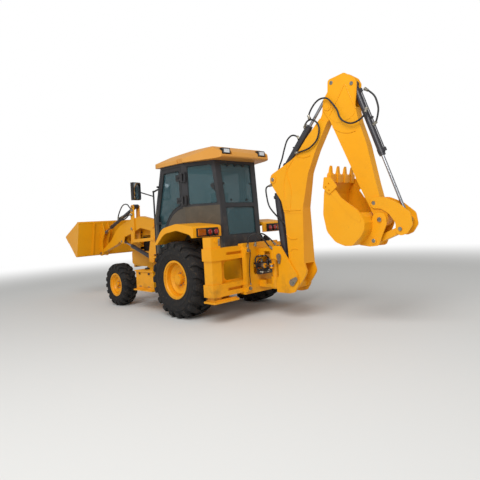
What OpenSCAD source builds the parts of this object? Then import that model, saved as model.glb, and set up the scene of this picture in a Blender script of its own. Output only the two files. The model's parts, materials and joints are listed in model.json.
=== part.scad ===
/* [Wheels] */
// Rear tyre radius to the lug tips
rear_tyre_r = 648; // [600:1:700]
// Rear tyre width
rear_tyre_w = 490; // [440:1:520]
// Rear rim radius at the bead
rear_rim_r = 312; // [290:1:330]
// Front tyre radius to the lug tips
front_tyre_r = 427; // [400:1:450]
// Front tyre width
front_tyre_w = 305; // [280:1:320]
// Front rim radius at the bead
front_rim_r = 218; // [200:1:225]
// Distance from the middle plane to each wheel's centre
wheel_y = 850; // [840:1:870]
// Distance between the axles
wheelbase = 2180; // [2150:1:2250]
// Lugs on each half of a rear tyre
rear_lugs = 19; // [15:1:20]
// Lugs on each half of a front tyre
front_lugs = 18; // [14:1:19]

/* [Cab] */
// Half width at the doors
cab_half = 750; // [730:1:770]
// Half width at the rear corners
cab_rear_half = 440; // [420:1:460]
// Height of the cab floor
cab_floor_z = 1060; // [1040:1:1080]
// Height of the pillars' upper ends
cab_top_z = 2640; // [2600:1:2680]
// Thickness of walls, pillars and doors
cab_wall = 46; // [40:1:52]
// Thickness of the panes
glass_t = 6; // [4:0.5:8]
// Height of the roof moulding
roof_h = 235; // [200:1:260]

/* [Loader] */
// Middle of each arm across the machine
arm_y = 520; // [510:1:530]
// Width of an arm
arm_w = 100; // [90:1:110]
// Bucket width
bucket_w = 2300; // [2200:1:2350]
// Thickness of the bucket's plates
bucket_t = 16; // [12:1:20]

/* [Backhoe] */
// Sideways place of the backhoe as parked
hoe_y = 50; // [0:1:100]
// Half width of the boom at its foot
boom_foot_half = 132; // [125:1:134]
// Half width of the boom above its bend
boom_top_half = 66; // [66:1:70]
// Thickness of the swing post's plates
post_t = 25; // [20:1:30]
// Width of the digging bucket
hoe_bucket_w = 610; // [550:1:700]
// Thickness of the digging bucket's plates
hoe_bucket_t = 18; // [14:1:20]
// Teeth on the digging bucket
teeth = 4; // [3:1:5]

/* [Rear frame] */
// Height of each cross beam
beam_h = 190; // [180:1:200]
// Depth of each cross beam
beam_d = 150; // [140:1:170]
// Underside of the lower beam
beam_low_z = 431; // [420:1:440]
// Underside of the upper beam
beam_up_z = 985; // [980:1:1000]
// Rear face of the beams behind the rear axle
beam_back = 1060; // [1050:1:1080]
// Outer face of the stabilizer columns
column_out = 1108; // [1100:1:1112]
// Side of a stabilizer column's collars
collar = 227; // [220:1:232]

/* [Hidden] */

// Smoothness of round faces
$fn = 48;
// Colours
paint = "#E8A216";
dark = "#3B3A3C";
steel = "#B8BABC";
black = "#1C1C1E";
glass_tint = "#7FA9A6";

// Running fit of a rod in its gland and of a pin in its bore
fit = 0.05;
// Gap between faces that slide or turn past each other
slide = 0.3;
// Free space round a moving piece
clear = 6;

// Pins in side view, x ahead of the rear axle and z above the ground
arm_hinge = [1250, 1590];
lever_pin = [2060, 1550];
lever_top = [2010, 2010];
lever_low = [2075, 1290];
arm_tip = [3500, 1025];
tilt_ear = arm_tip + [-110, 480];
lift_base = [1400, 915];
lift_eye = [2560, 1290];
link_base = arm_hinge + lever_low - lever_pin;
swing_x = -1400;
boom_foot = [-1870, 598];
boom_cyl_base = [-1630, 990];
boom_cyl_eye = boom_foot + [340, 1602];
dip_cyl_base = boom_foot + [190, 1680];
dip_pivot = boom_foot + [-757, 2522];
dip_cyl_eye = dip_pivot + [-83, 315];
bkt_cyl_base = dip_pivot + [-405, 224];
guide_pin = dip_pivot + [-622, -1416];
bkt_hinge = dip_pivot + [-712, -1634];
bkt_cyl_eye = guide_pin + [-422, -238];
link_pin = guide_pin + [-351, -347];
bkt_ear = bkt_hinge + [102, -273];

// Reach to both ends, which puts the origin midway along the whole machine
eye_boss_r = 68;
lip = arm_tip + [640, 428];
rear_reach = -bkt_cyl_eye[0] + eye_boss_r;
front_reach = lip[0];
axle_x = (rear_reach - front_reach) / 2;

function unit(v) = v / norm(v);
function heading(v) = atan2(v[1], v[0]);
// Points of a fillet of radius r at b, between a and c
function fillet(a, b, c, r, n) = r <= 0 ? [b] :
  let (u = unit(a - b), v = unit(c - b), half = acos(u * v) / 2,
       m = b + unit(u + v) * r / sin(half), p = b + u * r / tan(half) - m,
       q = b + v * r / tan(half) - m, w = 180 - 2 * half)
  [for (i = [0:n]) m + (sin(w * (1 - i / n)) * p + sin(w * i / n) * q) / sin(w)];
// Outline from rows of x, z and fillet radius
function outline(rows, n = 5) = [for (i = [0:len(rows) - 1])
  each fillet(xy(rows[(i + len(rows) - 1) % len(rows)]), xy(rows[i]),
    xy(rows[(i + 1) % len(rows)]), rows[i][2], n)];
function xy(row) = [row[0], row[1]];
function moved(rows, by) = [for (r = rows) [r[0] + by[0], r[1] + by[1], r[2]]];
function moved2(points, by) = [for (p = points) p + by];

// Puts a body with its zero at the rear axle into the machine's frame
module at_axle() { translate([axle_x, 0, 0]) children(); }
// A plate from y to y + t with its outline in side view
module plate(y, t) { translate([0, y + t, 0]) rotate([90, 0, 0]) linear_extrude(t) children(); }
// Two like plates, mirrored about the plane y = mid
module plate_pair(mid, inner, t) {
  plate(mid + inner, t) children();
  plate(mid - inner - t, t) children();
}
// A round bar along y, its middle at y
module bar_y(p, y, w, r) {
  translate([p[0], y - w / 2, p[1]]) rotate([-90, 0, 0]) cylinder(r = r, h = w);
}
module both_sides() {
  children();
  mirror([0, 1, 0]) children();
}
// Bar along the line from a to b in the plane y
module along(a, b, y) {
  translate([a[0], y, a[1]]) rotate([0, 90 - heading(b - a), 0]) children();
}

// Hydraulic cylinders, each from its base pin towards its rod's eye. The bore goes
// bore deep into the barrel, and the rod reaches inside deep into it as parked. A pipe
// runs to the gland on the side away from the arm, 1 or -1, or there is none with 0
pipe_r = 8;
pipe_block = 34;
module barrel(a, b, y, len, r, eye_r, eye_w, bore, pipe = 0) {
  rod_r = r * 0.5;
  difference() {
    union() {
      along(a, b, y) {
        translate([0, 0, eye_r * 0.6]) cylinder(r = r, h = len - eye_r * 0.6);
        translate([0, 0, len - 90]) cylinder(r = r + 5, h = 60);
        translate([0, 0, eye_r * 0.8]) cylinder(r = r + 3, h = 50);
        if (pipe != 0) {
          translate([pipe * (r + 16), 0, eye_r + 70]) cylinder(r = pipe_r, h = len - eye_r - 130);
          for (z = [eye_r + 60, len * 0.5, len - 84])
            translate([pipe * (r + 16) - pipe_block / 2, -pipe_block / 2, z])
              cube([pipe_block, pipe_block, z == len * 0.5 ? 20 : 46]);
        }
      }
      bar_y(a, y, eye_w, eye_r);
    }
    along(a, b, y) translate([0, 0, len - bore]) cylinder(r = rod_r + fit, h = bore + 1);
    bar_y(a, y, eye_w + 2, eye_r * 0.5 + fit);
  }
}
module rod(a, b, y, len, r, eye_r, eye_w, inside) {
  reach = norm(b - a);
  along(a, b, y) {
    translate([0, 0, len - inside]) cylinder(r = r * 0.5, h = reach - len + inside);
    translate([0, 0, reach - eye_r - 45]) cylinder(r = r * 0.72, h = 60);
  }
  bar_y(b, y, eye_w, eye_r);
}

// Wheels
module tyre(r, w, rim_r, lugs, lug_h) {
  crown = r - lug_h;
  side = w / 2;
  bead = side * 0.78;
  rotate([90, 0, 0]) rotate_extrude($fn = 96) polygon([
    [rim_r, -bead], [rim_r + 18, -bead], [rim_r + 26, -bead - 10],
    [rim_r + (crown - rim_r) * 0.45, -side + 6],
    [rim_r + (crown - rim_r) * 0.72, -side + 10], [crown - 22, -side * 0.84],
    [crown, -side * 0.6], [crown, side * 0.6], [crown - 22, side * 0.84],
    [rim_r + (crown - rim_r) * 0.72, side - 10], [rim_r + (crown - rim_r) * 0.45, side - 6],
    [rim_r + 26, bead + 10], [rim_r + 18, bead], [rim_r, bead]]);
  pitch = 360 / lugs;
  lug_w = 2 * PI * r / lugs * 0.42;
  intersection() {
    for (half = [0, 1], i = [0:lugs - 1])
      mirror([0, half, 0]) rotate([0, (i + 0.5 * half) * pitch, 0])
        lug(r, crown, side, lug_w);
    rotate([90, 0, 0]) rotate_extrude($fn = 96) polygon([
      [crown - 100, -side], [r - 70, -side], [r - 28, -side * 0.93], [r - 6, -side * 0.74],
      [r, -side * 0.5], [r, side * 0.5], [r - 6, side * 0.74], [r - 28, side * 0.93],
      [r - 70, side], [crown - 100, side]]);
  }
}
// One tread lug: a diagonal bar over the crown and a block down the shoulder
module lug(r, crown, side, lug_w) {
  skew = 32;
  base = crown - 30;
  translate([0, side * 0.36, 0]) rotate([0, 0, -skew]) translate([-lug_w / 2, -side * 0.48, base])
    cube([lug_w, side * 0.9, r - base + 12]);
  translate([-lug_w / 2 + side * 0.26, 0, 0]) rotate([90, 0, 90]) linear_extrude(lug_w)
    polygon([[side * 0.52, base], [side * 0.52, r + 12], [side + 8, r + 12], [side + 8, r - 96],
      [side - 16, r - 112], [side * 0.8, base - 40]]);
}
module rim(r, w, disc_y, hub_r, bolts) {
  half = w / 2 * 0.78;
  difference() {
    rotate([90, 0, 0]) rotate_extrude($fn = 96) polygon([
      [0, disc_y - 12], [hub_r + 60, disc_y - 12], [r - 70, disc_y + 26], [r - 30, disc_y + 14],
      [r - 30, -half + 30], [r - 14, -half + 8], [r - 14, -half - 10], [r + 16, -half - 10],
      [r + 16, -half], [r, -half], [r, -half + 24], [r - 16, -half + 48],
      [r - 16, half - 48], [r, half - 24], [r, half], [r + 16, half],
      [r + 16, half + 10], [r - 14, half + 10], [r - 14, half - 8], [r - 30, half - 26],
      [r - 30, disc_y + 34], [r - 70, disc_y + 46], [hub_r + 50, disc_y + 8],
      [0, disc_y + 8]]);
    rotate([90, 0, 0]) translate([0, 0, disc_y - 30]) cylinder(r = hub_r * 0.55 + fit, h = 60);
  }
  for (i = [0:bolts - 1]) rotate([0, i * 360 / bolts, 0])
    translate([hub_r * 0.82, -disc_y - 7, 0]) rotate([90, 0, 0]) cylinder(r = 13, h = 20, $fn = 6);
}
module wheel_at(x, side, r) {
  translate([x, side * wheel_y, r]) {
    if (side > 0) mirror([0, 1, 0]) children();
    else children();
  }
}
module rear_tyre(side) {
  color(black) at_axle() wheel_at(0, side, rear_tyre_r)
    tyre(rear_tyre_r, rear_tyre_w, rear_rim_r, rear_lugs, 42);
}
module front_tyre(side) {
  color(black) at_axle() wheel_at(wheelbase, side, front_tyre_r)
    tyre(front_tyre_r, front_tyre_w, front_rim_r, front_lugs, 30);
}
rear_disc = 60;
front_disc = 50;
rear_hub_r = 150;
front_hub_r = 75;
module rear_rim(side) {
  color(paint) at_axle() wheel_at(0, side, rear_tyre_r)
    rim(rear_rim_r, rear_tyre_w, rear_disc, rear_hub_r, 10);
}
module front_rim(side) {
  color(paint) at_axle() wheel_at(wheelbase, side, front_tyre_r)
    rim(front_rim_r, front_tyre_w, front_disc, front_hub_r, 8);
}
// Hub outboard from y = in_y, its spigot through the wheel's disc and its cap
module hub(side, x, r, disc_y, hub_r, in_y, cap) {
  wheel_at(x, side, r) rotate([90, 0, 0]) {
    translate([0, 0, in_y - wheel_y])
      cylinder(r = hub_r * 0.8, h = wheel_y - in_y + disc_y - 12 - slide);
    translate([0, 0, disc_y - 14]) cylinder(r = hub_r * 0.55, h = 30 + cap);
    translate([0, 0, disc_y + 8 + slide]) cylinder(r = hub_r * 0.62, h = cap);
  }
}

module tyre_rear_left() { rear_tyre(1); }
module tyre_rear_right() { rear_tyre(-1); }
module rim_rear_left() { rear_rim(1); }
module rim_rear_right() { rear_rim(-1); }
module tyre_front_left() { front_tyre(1); }
module tyre_front_right() { front_tyre(-1); }
module rim_front_left() { front_rim(1); }
module rim_front_right() { front_rim(-1); }

// Chassis and axles
rail_in = 300;
rail_t = 60;
axle_pad_z = 760;
axle_seat_z = 740;
nose_x = 2540;
module chassis_frame() {
  color(paint) at_axle() {
    both_sides() {
      // side rail, deep between the axles and raised over the front axle
      plate(rail_in, rail_t) polygon(outline([
        [-beam_back + beam_d, 520, 0], [-beam_back + beam_d, 1060, 0], [-760, 980, 60],
        [300, 900, 60], [1150, 900, 40], [1250, 1060, 0], [nose_x, 1060, 60],
        [nose_x, 790, 40], [2350, 740, 60], [1950, 740, 60], [1650, 560, 60],
        [350, 520, 60], [260, axle_pad_z, 40], [-260, axle_pad_z, 40], [-330, 560, 60]]));
      // posts under the cab floor
      for (x = [-540, 700]) translate([x, rail_in, 880]) cube([70, rail_t, cab_floor_z - 880]);
      // foot of the lift cylinder's bracket
      plate(rail_in + rail_t, tower_in - rail_in - rail_t) polygon(outline([[1300, 780, 20],
        [1300, 1000, 60], [1480, 1000, 60], [1560, 780, 20]]));
    }
    for (row = [[-700, 640, 200], [700, 560, 200], [1640, 600, 150], [nose_x - 60, 820, 200]])
      translate([row[0], -rail_in, row[1]]) cube([60, 2 * rail_in, row[2]]);
    // seat of the front axle
    translate([wheelbase - 90, -rail_in, axle_seat_z]) cube([180, 2 * rail_in, 60]);
    // nose plate with the hole for a tow pin
    difference() {
      union() {
        translate([nose_x - 20, -rail_in, 700]) cube([60, 2 * rail_in, 120]);
        translate([nose_x - 20, -tow_half, 700]) cube([80, 2 * tow_half, 120]);
      }
      translate([nose_x + 10, -tow_half - 1, 730]) cube([51, 2 * tow_half + 2, 60]);
      translate([nose_x + tow_x, 0, 690]) cylinder(r = tow_pin_r + fit, h = 140);
    }
  }
}
tow_pin_r = 16;
tow_x = 34;
tow_half = 80;

tower_t = 22;
link_in = arm_w / 2 + clear + tower_t + slide;
link_t = 12;
tower_in = arm_y - arm_w / 2 - clear - tower_t;
module loader_towers() {
  color(paint) at_axle() both_sides() {
    // inner and outer plates that carry the arm's hinge and the link's pin
    plate_pair(arm_y, arm_w / 2 + clear, tower_t) polygon(outline([
      [1130, 1020, 0], [1150, 1680, 90], [1350, 1680, 90], [1390, 1330, 60],
      [1480, 1040, 60], [1480, 860, 40], [1310, 860, 40], [1300, 1020, 0]]));
    difference() {
      translate([1150, arm_y - arm_w / 2 - 8, 1030]) cube([70, arm_w + 16, 230]);
      bar_y(link_base, arm_y, 300, 70);
    }
    // deck that joins the tower to the chassis rail
    translate([1150, rail_in + rail_t, 960]) cube([140, tower_in - rail_in - rail_t + 1, 70]);
    translate([1150, tower_in, 960]) cube([140, tower_t, 70]);
    bar_y(arm_hinge, arm_y, arm_w + 100, 42);
    bar_y(link_base, arm_y, 2 * (link_in + link_t) + 16, 24);
    bar_y(lift_base, arm_y, arm_w + 2 * (clear + tower_t), 25);
  }
}

module engine_block() {
  color(dark) at_axle() {
    translate([1330, -250, 800]) cube([880, 500, 560]);
    for (x = [1480, 1960]) translate([x, -rail_in, 900]) cube([100, 2 * rail_in, 90]);
  }
}

hood_half = 400;
hood_t = 14;
module hood() {
  color(paint) at_axle() both_sides() for (x = [1260, 2200])
    translate([x, rail_in, 1060]) cube([160, hood_half - rail_in, 16]);
  color(paint) at_axle() difference() {
    plate(-hood_half, 2 * hood_half) polygon(outline([[980, 1075, 0], [980, 1700, 40],
      [1700, 1690, 120], [nose_x - 20, 1560, 110], [nose_x, 1075, 0]]));
    plate(-hood_half + hood_t, 2 * (hood_half - hood_t)) polygon(outline([[960, 1060, 0],
      [960, 1700 - hood_t, 0], [1700, 1690 - hood_t, 120], [nose_x - 34, 1560 - hood_t, 100],
      [nose_x + 40, 1300, 0], [nose_x + 40, 1060, 0]]));
    // louvres ahead of the towers
    for (i = [0:6]) translate([2190 + i * 40, -hood_half - 1, 1230]) cube([20, 2 * hood_half + 2, 190]);
    // open engine bay low at each side
    plate(-hood_half - 10, 2 * hood_half + 20) polygon(outline([[1420, 1060, 0], [1420, 1400, 60],
      [2040, 1400, 60], [2140, 1060, 0]]));
  }
}
module front_grille() {
  color(black) at_axle() {
    difference() {
      translate([nose_x - 36, -hood_half + 60, 1110]) cube([26, 2 * hood_half - 120, 360]);
      for (i = [0:6]) translate([nose_x - 40, -hood_half + 90, 1140 + i * 40])
        cube([40, 2 * hood_half - 180, 22]);
    }
    both_sides() translate([nose_x - 30, -hood_half + hood_t, 1110]) cube([16, 52, 360]);
    translate([nose_x - 30, -hood_half + hood_t, 1078]) cube([16, 2 * (hood_half - hood_t), 34]);
  }
}

module rear_axle() {
  color(dark) at_axle() {
    both_sides() translate([0, 0, rear_tyre_r]) rotate([-90, 0, 0]) cylinder(r = 105, h = 620);
    translate([0, 0, rear_tyre_r]) sphere(r = 215);
    for (s = [1, -1]) hub(s, 0, rear_tyre_r, rear_disc, rear_hub_r, 560, 70);
    both_sides() translate([-110, rail_in, rear_tyre_r]) cube([220, rail_t, axle_pad_z - rear_tyre_r]);
  }
}
kingpin_y = 680;
module front_axle() {
  color(dark) at_axle() difference() {
    union() {
      plate(-150, 300) translate([wheelbase, 0]) polygon(outline([[-130, 330, 60], [-130, 540, 40],
        [-90, 740, 0], [90, 740, 0], [130, 540, 40], [130, 330, 60]]));
      both_sides() translate([wheelbase - 80, 100, front_tyre_r - 75])
        cube([160, kingpin_y - 160, 150]);
      both_sides() translate([wheelbase, kingpin_y, front_tyre_r - 60]) cylinder(r = 62, h = 120);
      both_sides() translate([wheelbase - 50, kingpin_y - 130, front_tyre_r - 60])
        cube([100, 130, 120]);
    }
    both_sides() translate([wheelbase, kingpin_y, 0]) cylinder(r = 25 + fit, h = 900);
  }
}
module knuckle(side) {
  color(dark) at_axle() {
    translate([wheelbase, side * kingpin_y, front_tyre_r]) {
      translate([0, 0, -110]) cylinder(r = 25, h = 220);
      for (z = [60 + slide, -100 - slide]) translate([0, 0, z]) cylinder(r = 58, h = 40);
      translate([-45, side > 0 ? 0 : -110, 60 + slide]) cube([90, 110, 40]);
      translate([-45, side > 0 ? 0 : -110, -100 - slide]) cube([90, 110, 40]);
      translate([-60, side > 0 ? 70 : -110, -100]) cube([120, 40, 200]);
    }
    hub(side, wheelbase, front_tyre_r, front_disc, front_hub_r, kingpin_y + 80, 45);
  }
}
module knuckle_left() { knuckle(1); }
module knuckle_right() { knuckle(-1); }

// Cab
b_pillar_x = 0;
cab_front = 950;
cab_rear = -640;
belt_z = 1860;
door_gap = 5;
module cab_plan(inset) {
  polygon([[cab_rear + inset, -cab_rear_half + inset * 0.8], [b_pillar_x, -cab_half + inset],
    [cab_front - inset, -cab_half + inset], [cab_front - inset, cab_half - inset],
    [b_pillar_x, cab_half - inset], [cab_rear + inset, cab_rear_half - inset * 0.8]]);
}
module cab_side(inset) {
  polygon([[cab_rear + inset, cab_floor_z + inset], [cab_front - inset, cab_floor_z + inset],
    [cab_front - inset, 1720], [680 - inset * 1.1, cab_top_z + (inset > 0 ? 1 : 0)],
    [-540 + inset, cab_top_z + (inset > 0 ? 1 : 0)], [-610 + inset, belt_z],
    [cab_rear + inset, 1330]]);
}
module cab_solid(inset) {
  intersection() {
    translate([0, 0, cab_floor_z - 10]) linear_extrude(cab_top_z - cab_floor_z + 20) cab_plan(inset);
    plate(-cab_half, 2 * cab_half) cab_side(inset);
  }
}
// Outline of a door in side view; its lower rear corner follows the wheel arch
module door_outline(grow) {
  difference() {
    polygon([[b_pillar_x + 70 - grow, cab_floor_z + 12 - grow],
      [cab_front - 60 + grow, cab_floor_z + 12 - grow], [cab_front - 60 + grow, 1715],
      [628 + grow, cab_top_z - 55 + grow],
      [b_pillar_x + 70 - grow, cab_top_z - 55 + grow]]);
    translate([20, 1250]) circle(r = 610 - grow, $fn = 96);
  }
}
module door_window() {
  difference() {
    polygon([[b_pillar_x + 125, cab_floor_z + 72], [cab_front - 115, cab_floor_z + 72],
      [cab_front - 115, 1700], [590, cab_top_z - 112], [b_pillar_x + 125, cab_top_z - 112]]);
    translate([20, 1250]) circle(r = 665, $fn = 96);
  }
}
quarter_len = norm([cab_rear - b_pillar_x, cab_half - cab_rear_half]);
quarter_turn = atan2(cab_half - cab_rear_half, b_pillar_x - cab_rear);
// Frame of the slanted side wall behind the left door: x to the rear, z up, y inwards
module quarter() {
  translate([b_pillar_x, cab_half, 0]) rotate([0, 0, 180 + quarter_turn]) children();
}
function quarter_points() = [[75, 1905], [quarter_len - 95, 1905], [quarter_len - 170, 2575], [75, 2575]];
function rear_up() = [[-350, 1895], [350, 1895], [372, 2590], [-372, 2590]];
function rear_low() = [[-338, 1350], [338, 1350], [345, 1830], [-345, 1830]];
function wind() = [[-cab_half + 75, 1130], [cab_half - 75, 1130], [cab_half - 75, 2560],
  [-cab_half + 75, 2560]];
// A pane or a hole across x, its outline in y and z
module across_x(x, t, points) {
  translate([x, 0, 0]) rotate([90, 0, 90]) linear_extrude(t) polygon(points);
}
module cab_frame() {
  color(dark) at_axle() difference() {
    cab_solid(0);
    cab_solid(cab_wall);
    both_sides() plate(cab_half - cab_wall - 6, cab_wall + 12) door_outline(door_gap);
    // room for the wheel arch
    both_sides() plate(fender_in, fender_out - fender_in) arch_outline(slide);
    across_x(cab_front - 320, 400, wind());
    across_x(cab_rear - 100, 300, rear_up());
    across_x(cab_rear - 100, 250, rear_low());
    both_sides() quarter() translate([0, 100, 0]) rotate([90, 0, 0]) linear_extrude(200)
      polygon(quarter_points());
  }
  // inner wall beside each wheel arch
  color(dark) at_axle() both_sides() intersection() {
    plate(fender_in - arch_wall, arch_wall) arch_outline(40);
    cab_solid(20);
  }
  color(dark) at_axle() both_sides() pillar_hinges();
}
arch_wall = 24;
// Space of a rear wheel in side view, up to the fender's upper face
module arch_outline(up) {
  polygon(outline(moved([[-650, 900, 0], [-650, 1530, 50], [-200, 1590, 300], [220, 1520, 300],
    [470, 1240, 100], [630, 1000, 0], [660, 900, 0]], [0, up])));
}
module cab_glass() {
  color(glass_tint) at_axle() {
    intersection() {
      difference() { cab_solid(20); cab_solid(20 + glass_t); }
      union() {
        across_x(cab_front - 320, 400, wind());
        across_x(cab_rear - 100, 300, rear_up());
        across_x(cab_rear - 100, 250, rear_low());
      }
    }
    both_sides() quarter() translate([0, 26, 0]) rotate([90, 0, 0]) linear_extrude(glass_t)
      polygon(quarter_points());
  }
}
// Hinges, stays and latches on the panes' outer faces
module glass_fittings() {
  color(black) at_axle() {
    intersection() {
      difference() { cab_solid(8); cab_solid(20); }
      translate([cab_rear - 60, 0, 0]) {
        for (row = [[-185, 1955], [185, 1955], [-322, 2240], [322, 2240]])
          translate([0, row[0], row[1]]) rotate([0, 90, 0]) cylinder(r = 17, h = 300);
        for (y = [-190, 0, 190]) translate([0, 0, 0]) rotate([90, 0, 90]) linear_extrude(300)
          polygon([[y - 34, 2589], [y + 34, 2589], [y + 16, 2540], [y - 16, 2540]]);
      }
    }
    both_sides() quarter() translate([0, 20, 0]) rotate([90, 0, 0]) linear_extrude(12)
      polygon([[quarter_len - 150, 2255], [quarter_len - 134, 2116], [quarter_len - 205, 2195],
        [quarter_len - 205, 2235]]);
  }
}
module cab_roof() {
  color(paint) at_axle() difference() {
    intersection() {
      plate(-900, 1800) polygon(outline([[-830, cab_top_z + 10, 30], [-800, cab_top_z + 110, 60],
        [-620, cab_top_z + roof_h - 20, 120], [-100, cab_top_z + roof_h, 300],
        [520, cab_top_z + roof_h - 60, 200], [860, cab_top_z + 60, 40], [860, cab_top_z + 5, 15],
        [700, cab_top_z, 0], [-700, cab_top_z, 0]]));
      translate([0, 0, cab_top_z - 10]) linear_extrude(roof_h + 40) polygon(outline([
        [-860, -560, 120], [-860, 560, 120], [-100, 800, 300], [880, 800, 160],
        [880, -800, 160], [-100, -800, 300]]));
      translate([-1000, 0, 0]) rotate([90, 0, 90]) linear_extrude(2000) polygon(outline([
        [-810, cab_top_z - 10, 0], [-800, cab_top_z + 70, 40], [-520, cab_top_z + roof_h + 5, 200],
        [520, cab_top_z + roof_h + 5, 200], [800, cab_top_z + 70, 40], [810, cab_top_z - 10, 0]]));
    }
    // recesses of the working lamps, wider at their foot
    for (x = [-900, 690]) both_sides() across_x(x, 200, [[305, cab_top_z + 58],
      [545, cab_top_z + 58], [515, cab_top_z + 185], [335, cab_top_z + 185]]);
    // grooves across the side rims and shallow channels along the top
    both_sides() for (x = [-40:55:70]) translate([x, 775, cab_top_z - 5]) cube([24, 60, 110]);
    for (y = [-360:180:360]) translate([-560, y - 26, cab_top_z + roof_h - 34]) rotate([0, 2.4, 0])
      cube([1000, 52, 60]);
  }
}
hinge_x = b_pillar_x + 22;
hinge_r = 22;
hinge_z = [1990, 2390];
// Pillar's half of the hinges: a leaf with a lug above and below each knuckle
module pillar_hinges() {
  for (z = hinge_z) {
    translate([hinge_x - 92, cab_half - 1, z - 85]) cube([64, 15, 170]);
    for (end = [60.3, -82.3]) translate([0, 0, z + end]) {
      translate([hinge_x - 92, cab_half - 1, 0]) cube([92, 27, 22]);
      translate([hinge_x, cab_half + hinge_r + 4, 0]) cylinder(r = hinge_r, h = 22);
    }
  }
}
module door_left_body() {
  plate(cab_half - cab_wall, cab_wall) difference() {
    door_outline(0);
    door_window();
  }
  // hinges on the door's rear edge
  for (z = hinge_z) {
    translate([b_pillar_x + 72, cab_half, z - 55]) cube([120, 27, 110]);
    translate([hinge_x, cab_half + 8, z - 55]) cube([60, 19, 110]);
    translate([hinge_x, cab_half + hinge_r + 4, z - 60]) cylinder(r = hinge_r, h = 120);
    for (x = [110, 160]) translate([b_pillar_x + x, cab_half + 26, z]) rotate([-90, 0, 0])
      cylinder(r = 15, h = 9);
  }
  translate([780, cab_half - 1, 1600]) cube([90, 35, 150]);
}
module door_left() { color(dark) at_axle() door_left_body(); }
module door_right() { color(dark) at_axle() mirror([0, 1, 0]) door_left_body(); }
module door_pane() { plate(cab_half - 30, glass_t) door_window(); }
module door_glass_left() { color(glass_tint) at_axle() door_pane(); }
module door_glass_right() { color(glass_tint) at_axle() mirror([0, 1, 0]) door_pane(); }

// Bodywork beside the cab
fender_in = 520;
fender_out = 1110;
module rear_fenders() {
  color(paint) at_axle() both_sides() difference() {
    fender();
    // ends above the floor where the door swings past
    translate([300, cab_half, 990]) cube([400, fender_out - cab_half + 1, 250]);
  }
}
module fender() {
  plate(fender_in, fender_out - fender_in) polygon(outline([
    [-650, 1350, 0], [-650, 1530, 50], [-200, 1590, 300], [220, 1520, 300], [470, 1240, 100],
    [630, 1000, 0], [590, 1000, 0], [430, 1222, 100], [190, 1480, 300], [-200, 1548, 300],
    [-610, 1490, 0], [-610, 1350, 0]]));
  // outer skirt down to the tyre's shoulder
  plate(fender_out - 20, 20) polygon(outline([[-650, 1350, 0], [-650, 1500, 30],
    [-200, 1560, 300], [210, 1495, 300], [430, 1260, 0], [400, 1240, 0], [160, 1430, 300],
    [-200, 1480, 300], [-560, 1400, 100], [-600, 1350, 0]]));
}
box_in = 470;
box_out = 950;
module side_boxes() {
  color(paint) at_axle() both_sides() {
    translate([810, box_in, 400]) cube([600, box_out - box_in, 330]);
    translate([795, box_in, 730]) cube([630, box_out - box_in + 20, 24]);
    translate([795, box_in, 376]) cube([630, box_out - box_in + 60, 24]);
    translate([860, rail_in + rail_t, 600]) cube([120, box_in - rail_in - rail_t, 120]);
    translate([1240, rail_in + rail_t, 600]) cube([120, box_in - rail_in - rail_t, 120]);
    // step under the door
    translate([660, 500, 980]) cube([400, 330, 24]);
    for (x = [680, 960]) translate([x, rail_in + rail_t, 860]) cube([60, 180, 120]);
  }
}
// Round lamp that faces -x, its back at p
module round_lamp(p, r) {
  translate(p) rotate([0, -90, 0]) cylinder(r = r, h = lens_t);
}
lens_t = 22;
tail_back = -650;
tail_t = 16;
lamp_d = 70;
module lamps() {
  color("#C8CACC") at_axle() both_sides() {
    // lenses of the working lamps at the roof's back and front
    translate([-790 - 10, 355, cab_top_z + 82]) cube([10, 140, 76]);
    translate([690 + lamp_d, 355, cab_top_z + 82]) cube([10, 140, 76]);
    // tail lamps: two round ones and a square one further out
    for (y = [660, 790]) round_lamp([tail_back - tail_t, y, 1430], 50);
    translate([tail_back - tail_t - 14, 870, 1380]) cube([14, 150, 100]);
    // head lamps on the hood's nose
    translate([nose_x - 10, 235, 1412]) cube([12, 100, 50]);
  }
}
module lamp_housings() {
  color(black) at_axle() both_sides() {
    for (x = [-790, 690]) translate([x, 345, cab_top_z + 72]) cube([lamp_d, 160, 96]);
    for (x = [-745, 715]) translate([x, 410, cab_top_z + 58]) cube([24, 30, 16]);
    translate([tail_back - tail_t, 596, 1362]) cube([tail_t, 448, 136]);
    for (y = [660, 790]) translate([tail_back - tail_t, y, 1430]) rotate([0, -90, 0])
      difference() {
        cylinder(r = 60, h = lens_t - 6);
        translate([0, 0, -1]) cylinder(r = 50 + slide, h = lens_t);
      }
  }
}
module cab_interior() {
  color(dark) at_axle() {
    // floor plate and the box that carries the seat
    translate([-150, -300, cab_floor_z + cab_wall]) cube([500, 600, 60]);
    translate([-60, -200, cab_floor_z + cab_wall + 60]) cube([360, 400, 300]);
    // steering column, wheel and dashboard
    translate([640, -330, cab_floor_z + cab_wall]) cube([210, 660, 560]);
    translate([640, 0, 1640]) rotate([0, -35, 0]) {
      translate([0, 0, -80]) cylinder(r = 22, h = 120);
      translate([0, 0, 40]) rotate_extrude() translate([190, 0]) circle(r = 15);
      for (a = [0:120:240]) rotate([0, 0, a]) translate([0, -12, 33]) cube([190, 24, 14]);
    }
    // backhoe controls behind the seat
    translate([-560, -220, cab_floor_z + cab_wall]) cube([150, 440, 480]);
    for (y = [-150:75:150]) translate([-500, y, 1580]) {
      cylinder(r = 8, h = 190);
      translate([0, 0, 180]) sphere(r = 20);
    }
  }
}
module seat_cushions() {
  color(black) at_axle() {
    translate([-90, -240, 1466 + slide]) cube([480, 480, 120]);
    plate(-230, 460) polygon(outline([[-90, 1586 + 2 * slide, 0], [50, 1586 + 2 * slide, 0],
      [-20, 2150, 60], [-140, 2150, 60]]));
  }
}
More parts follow.
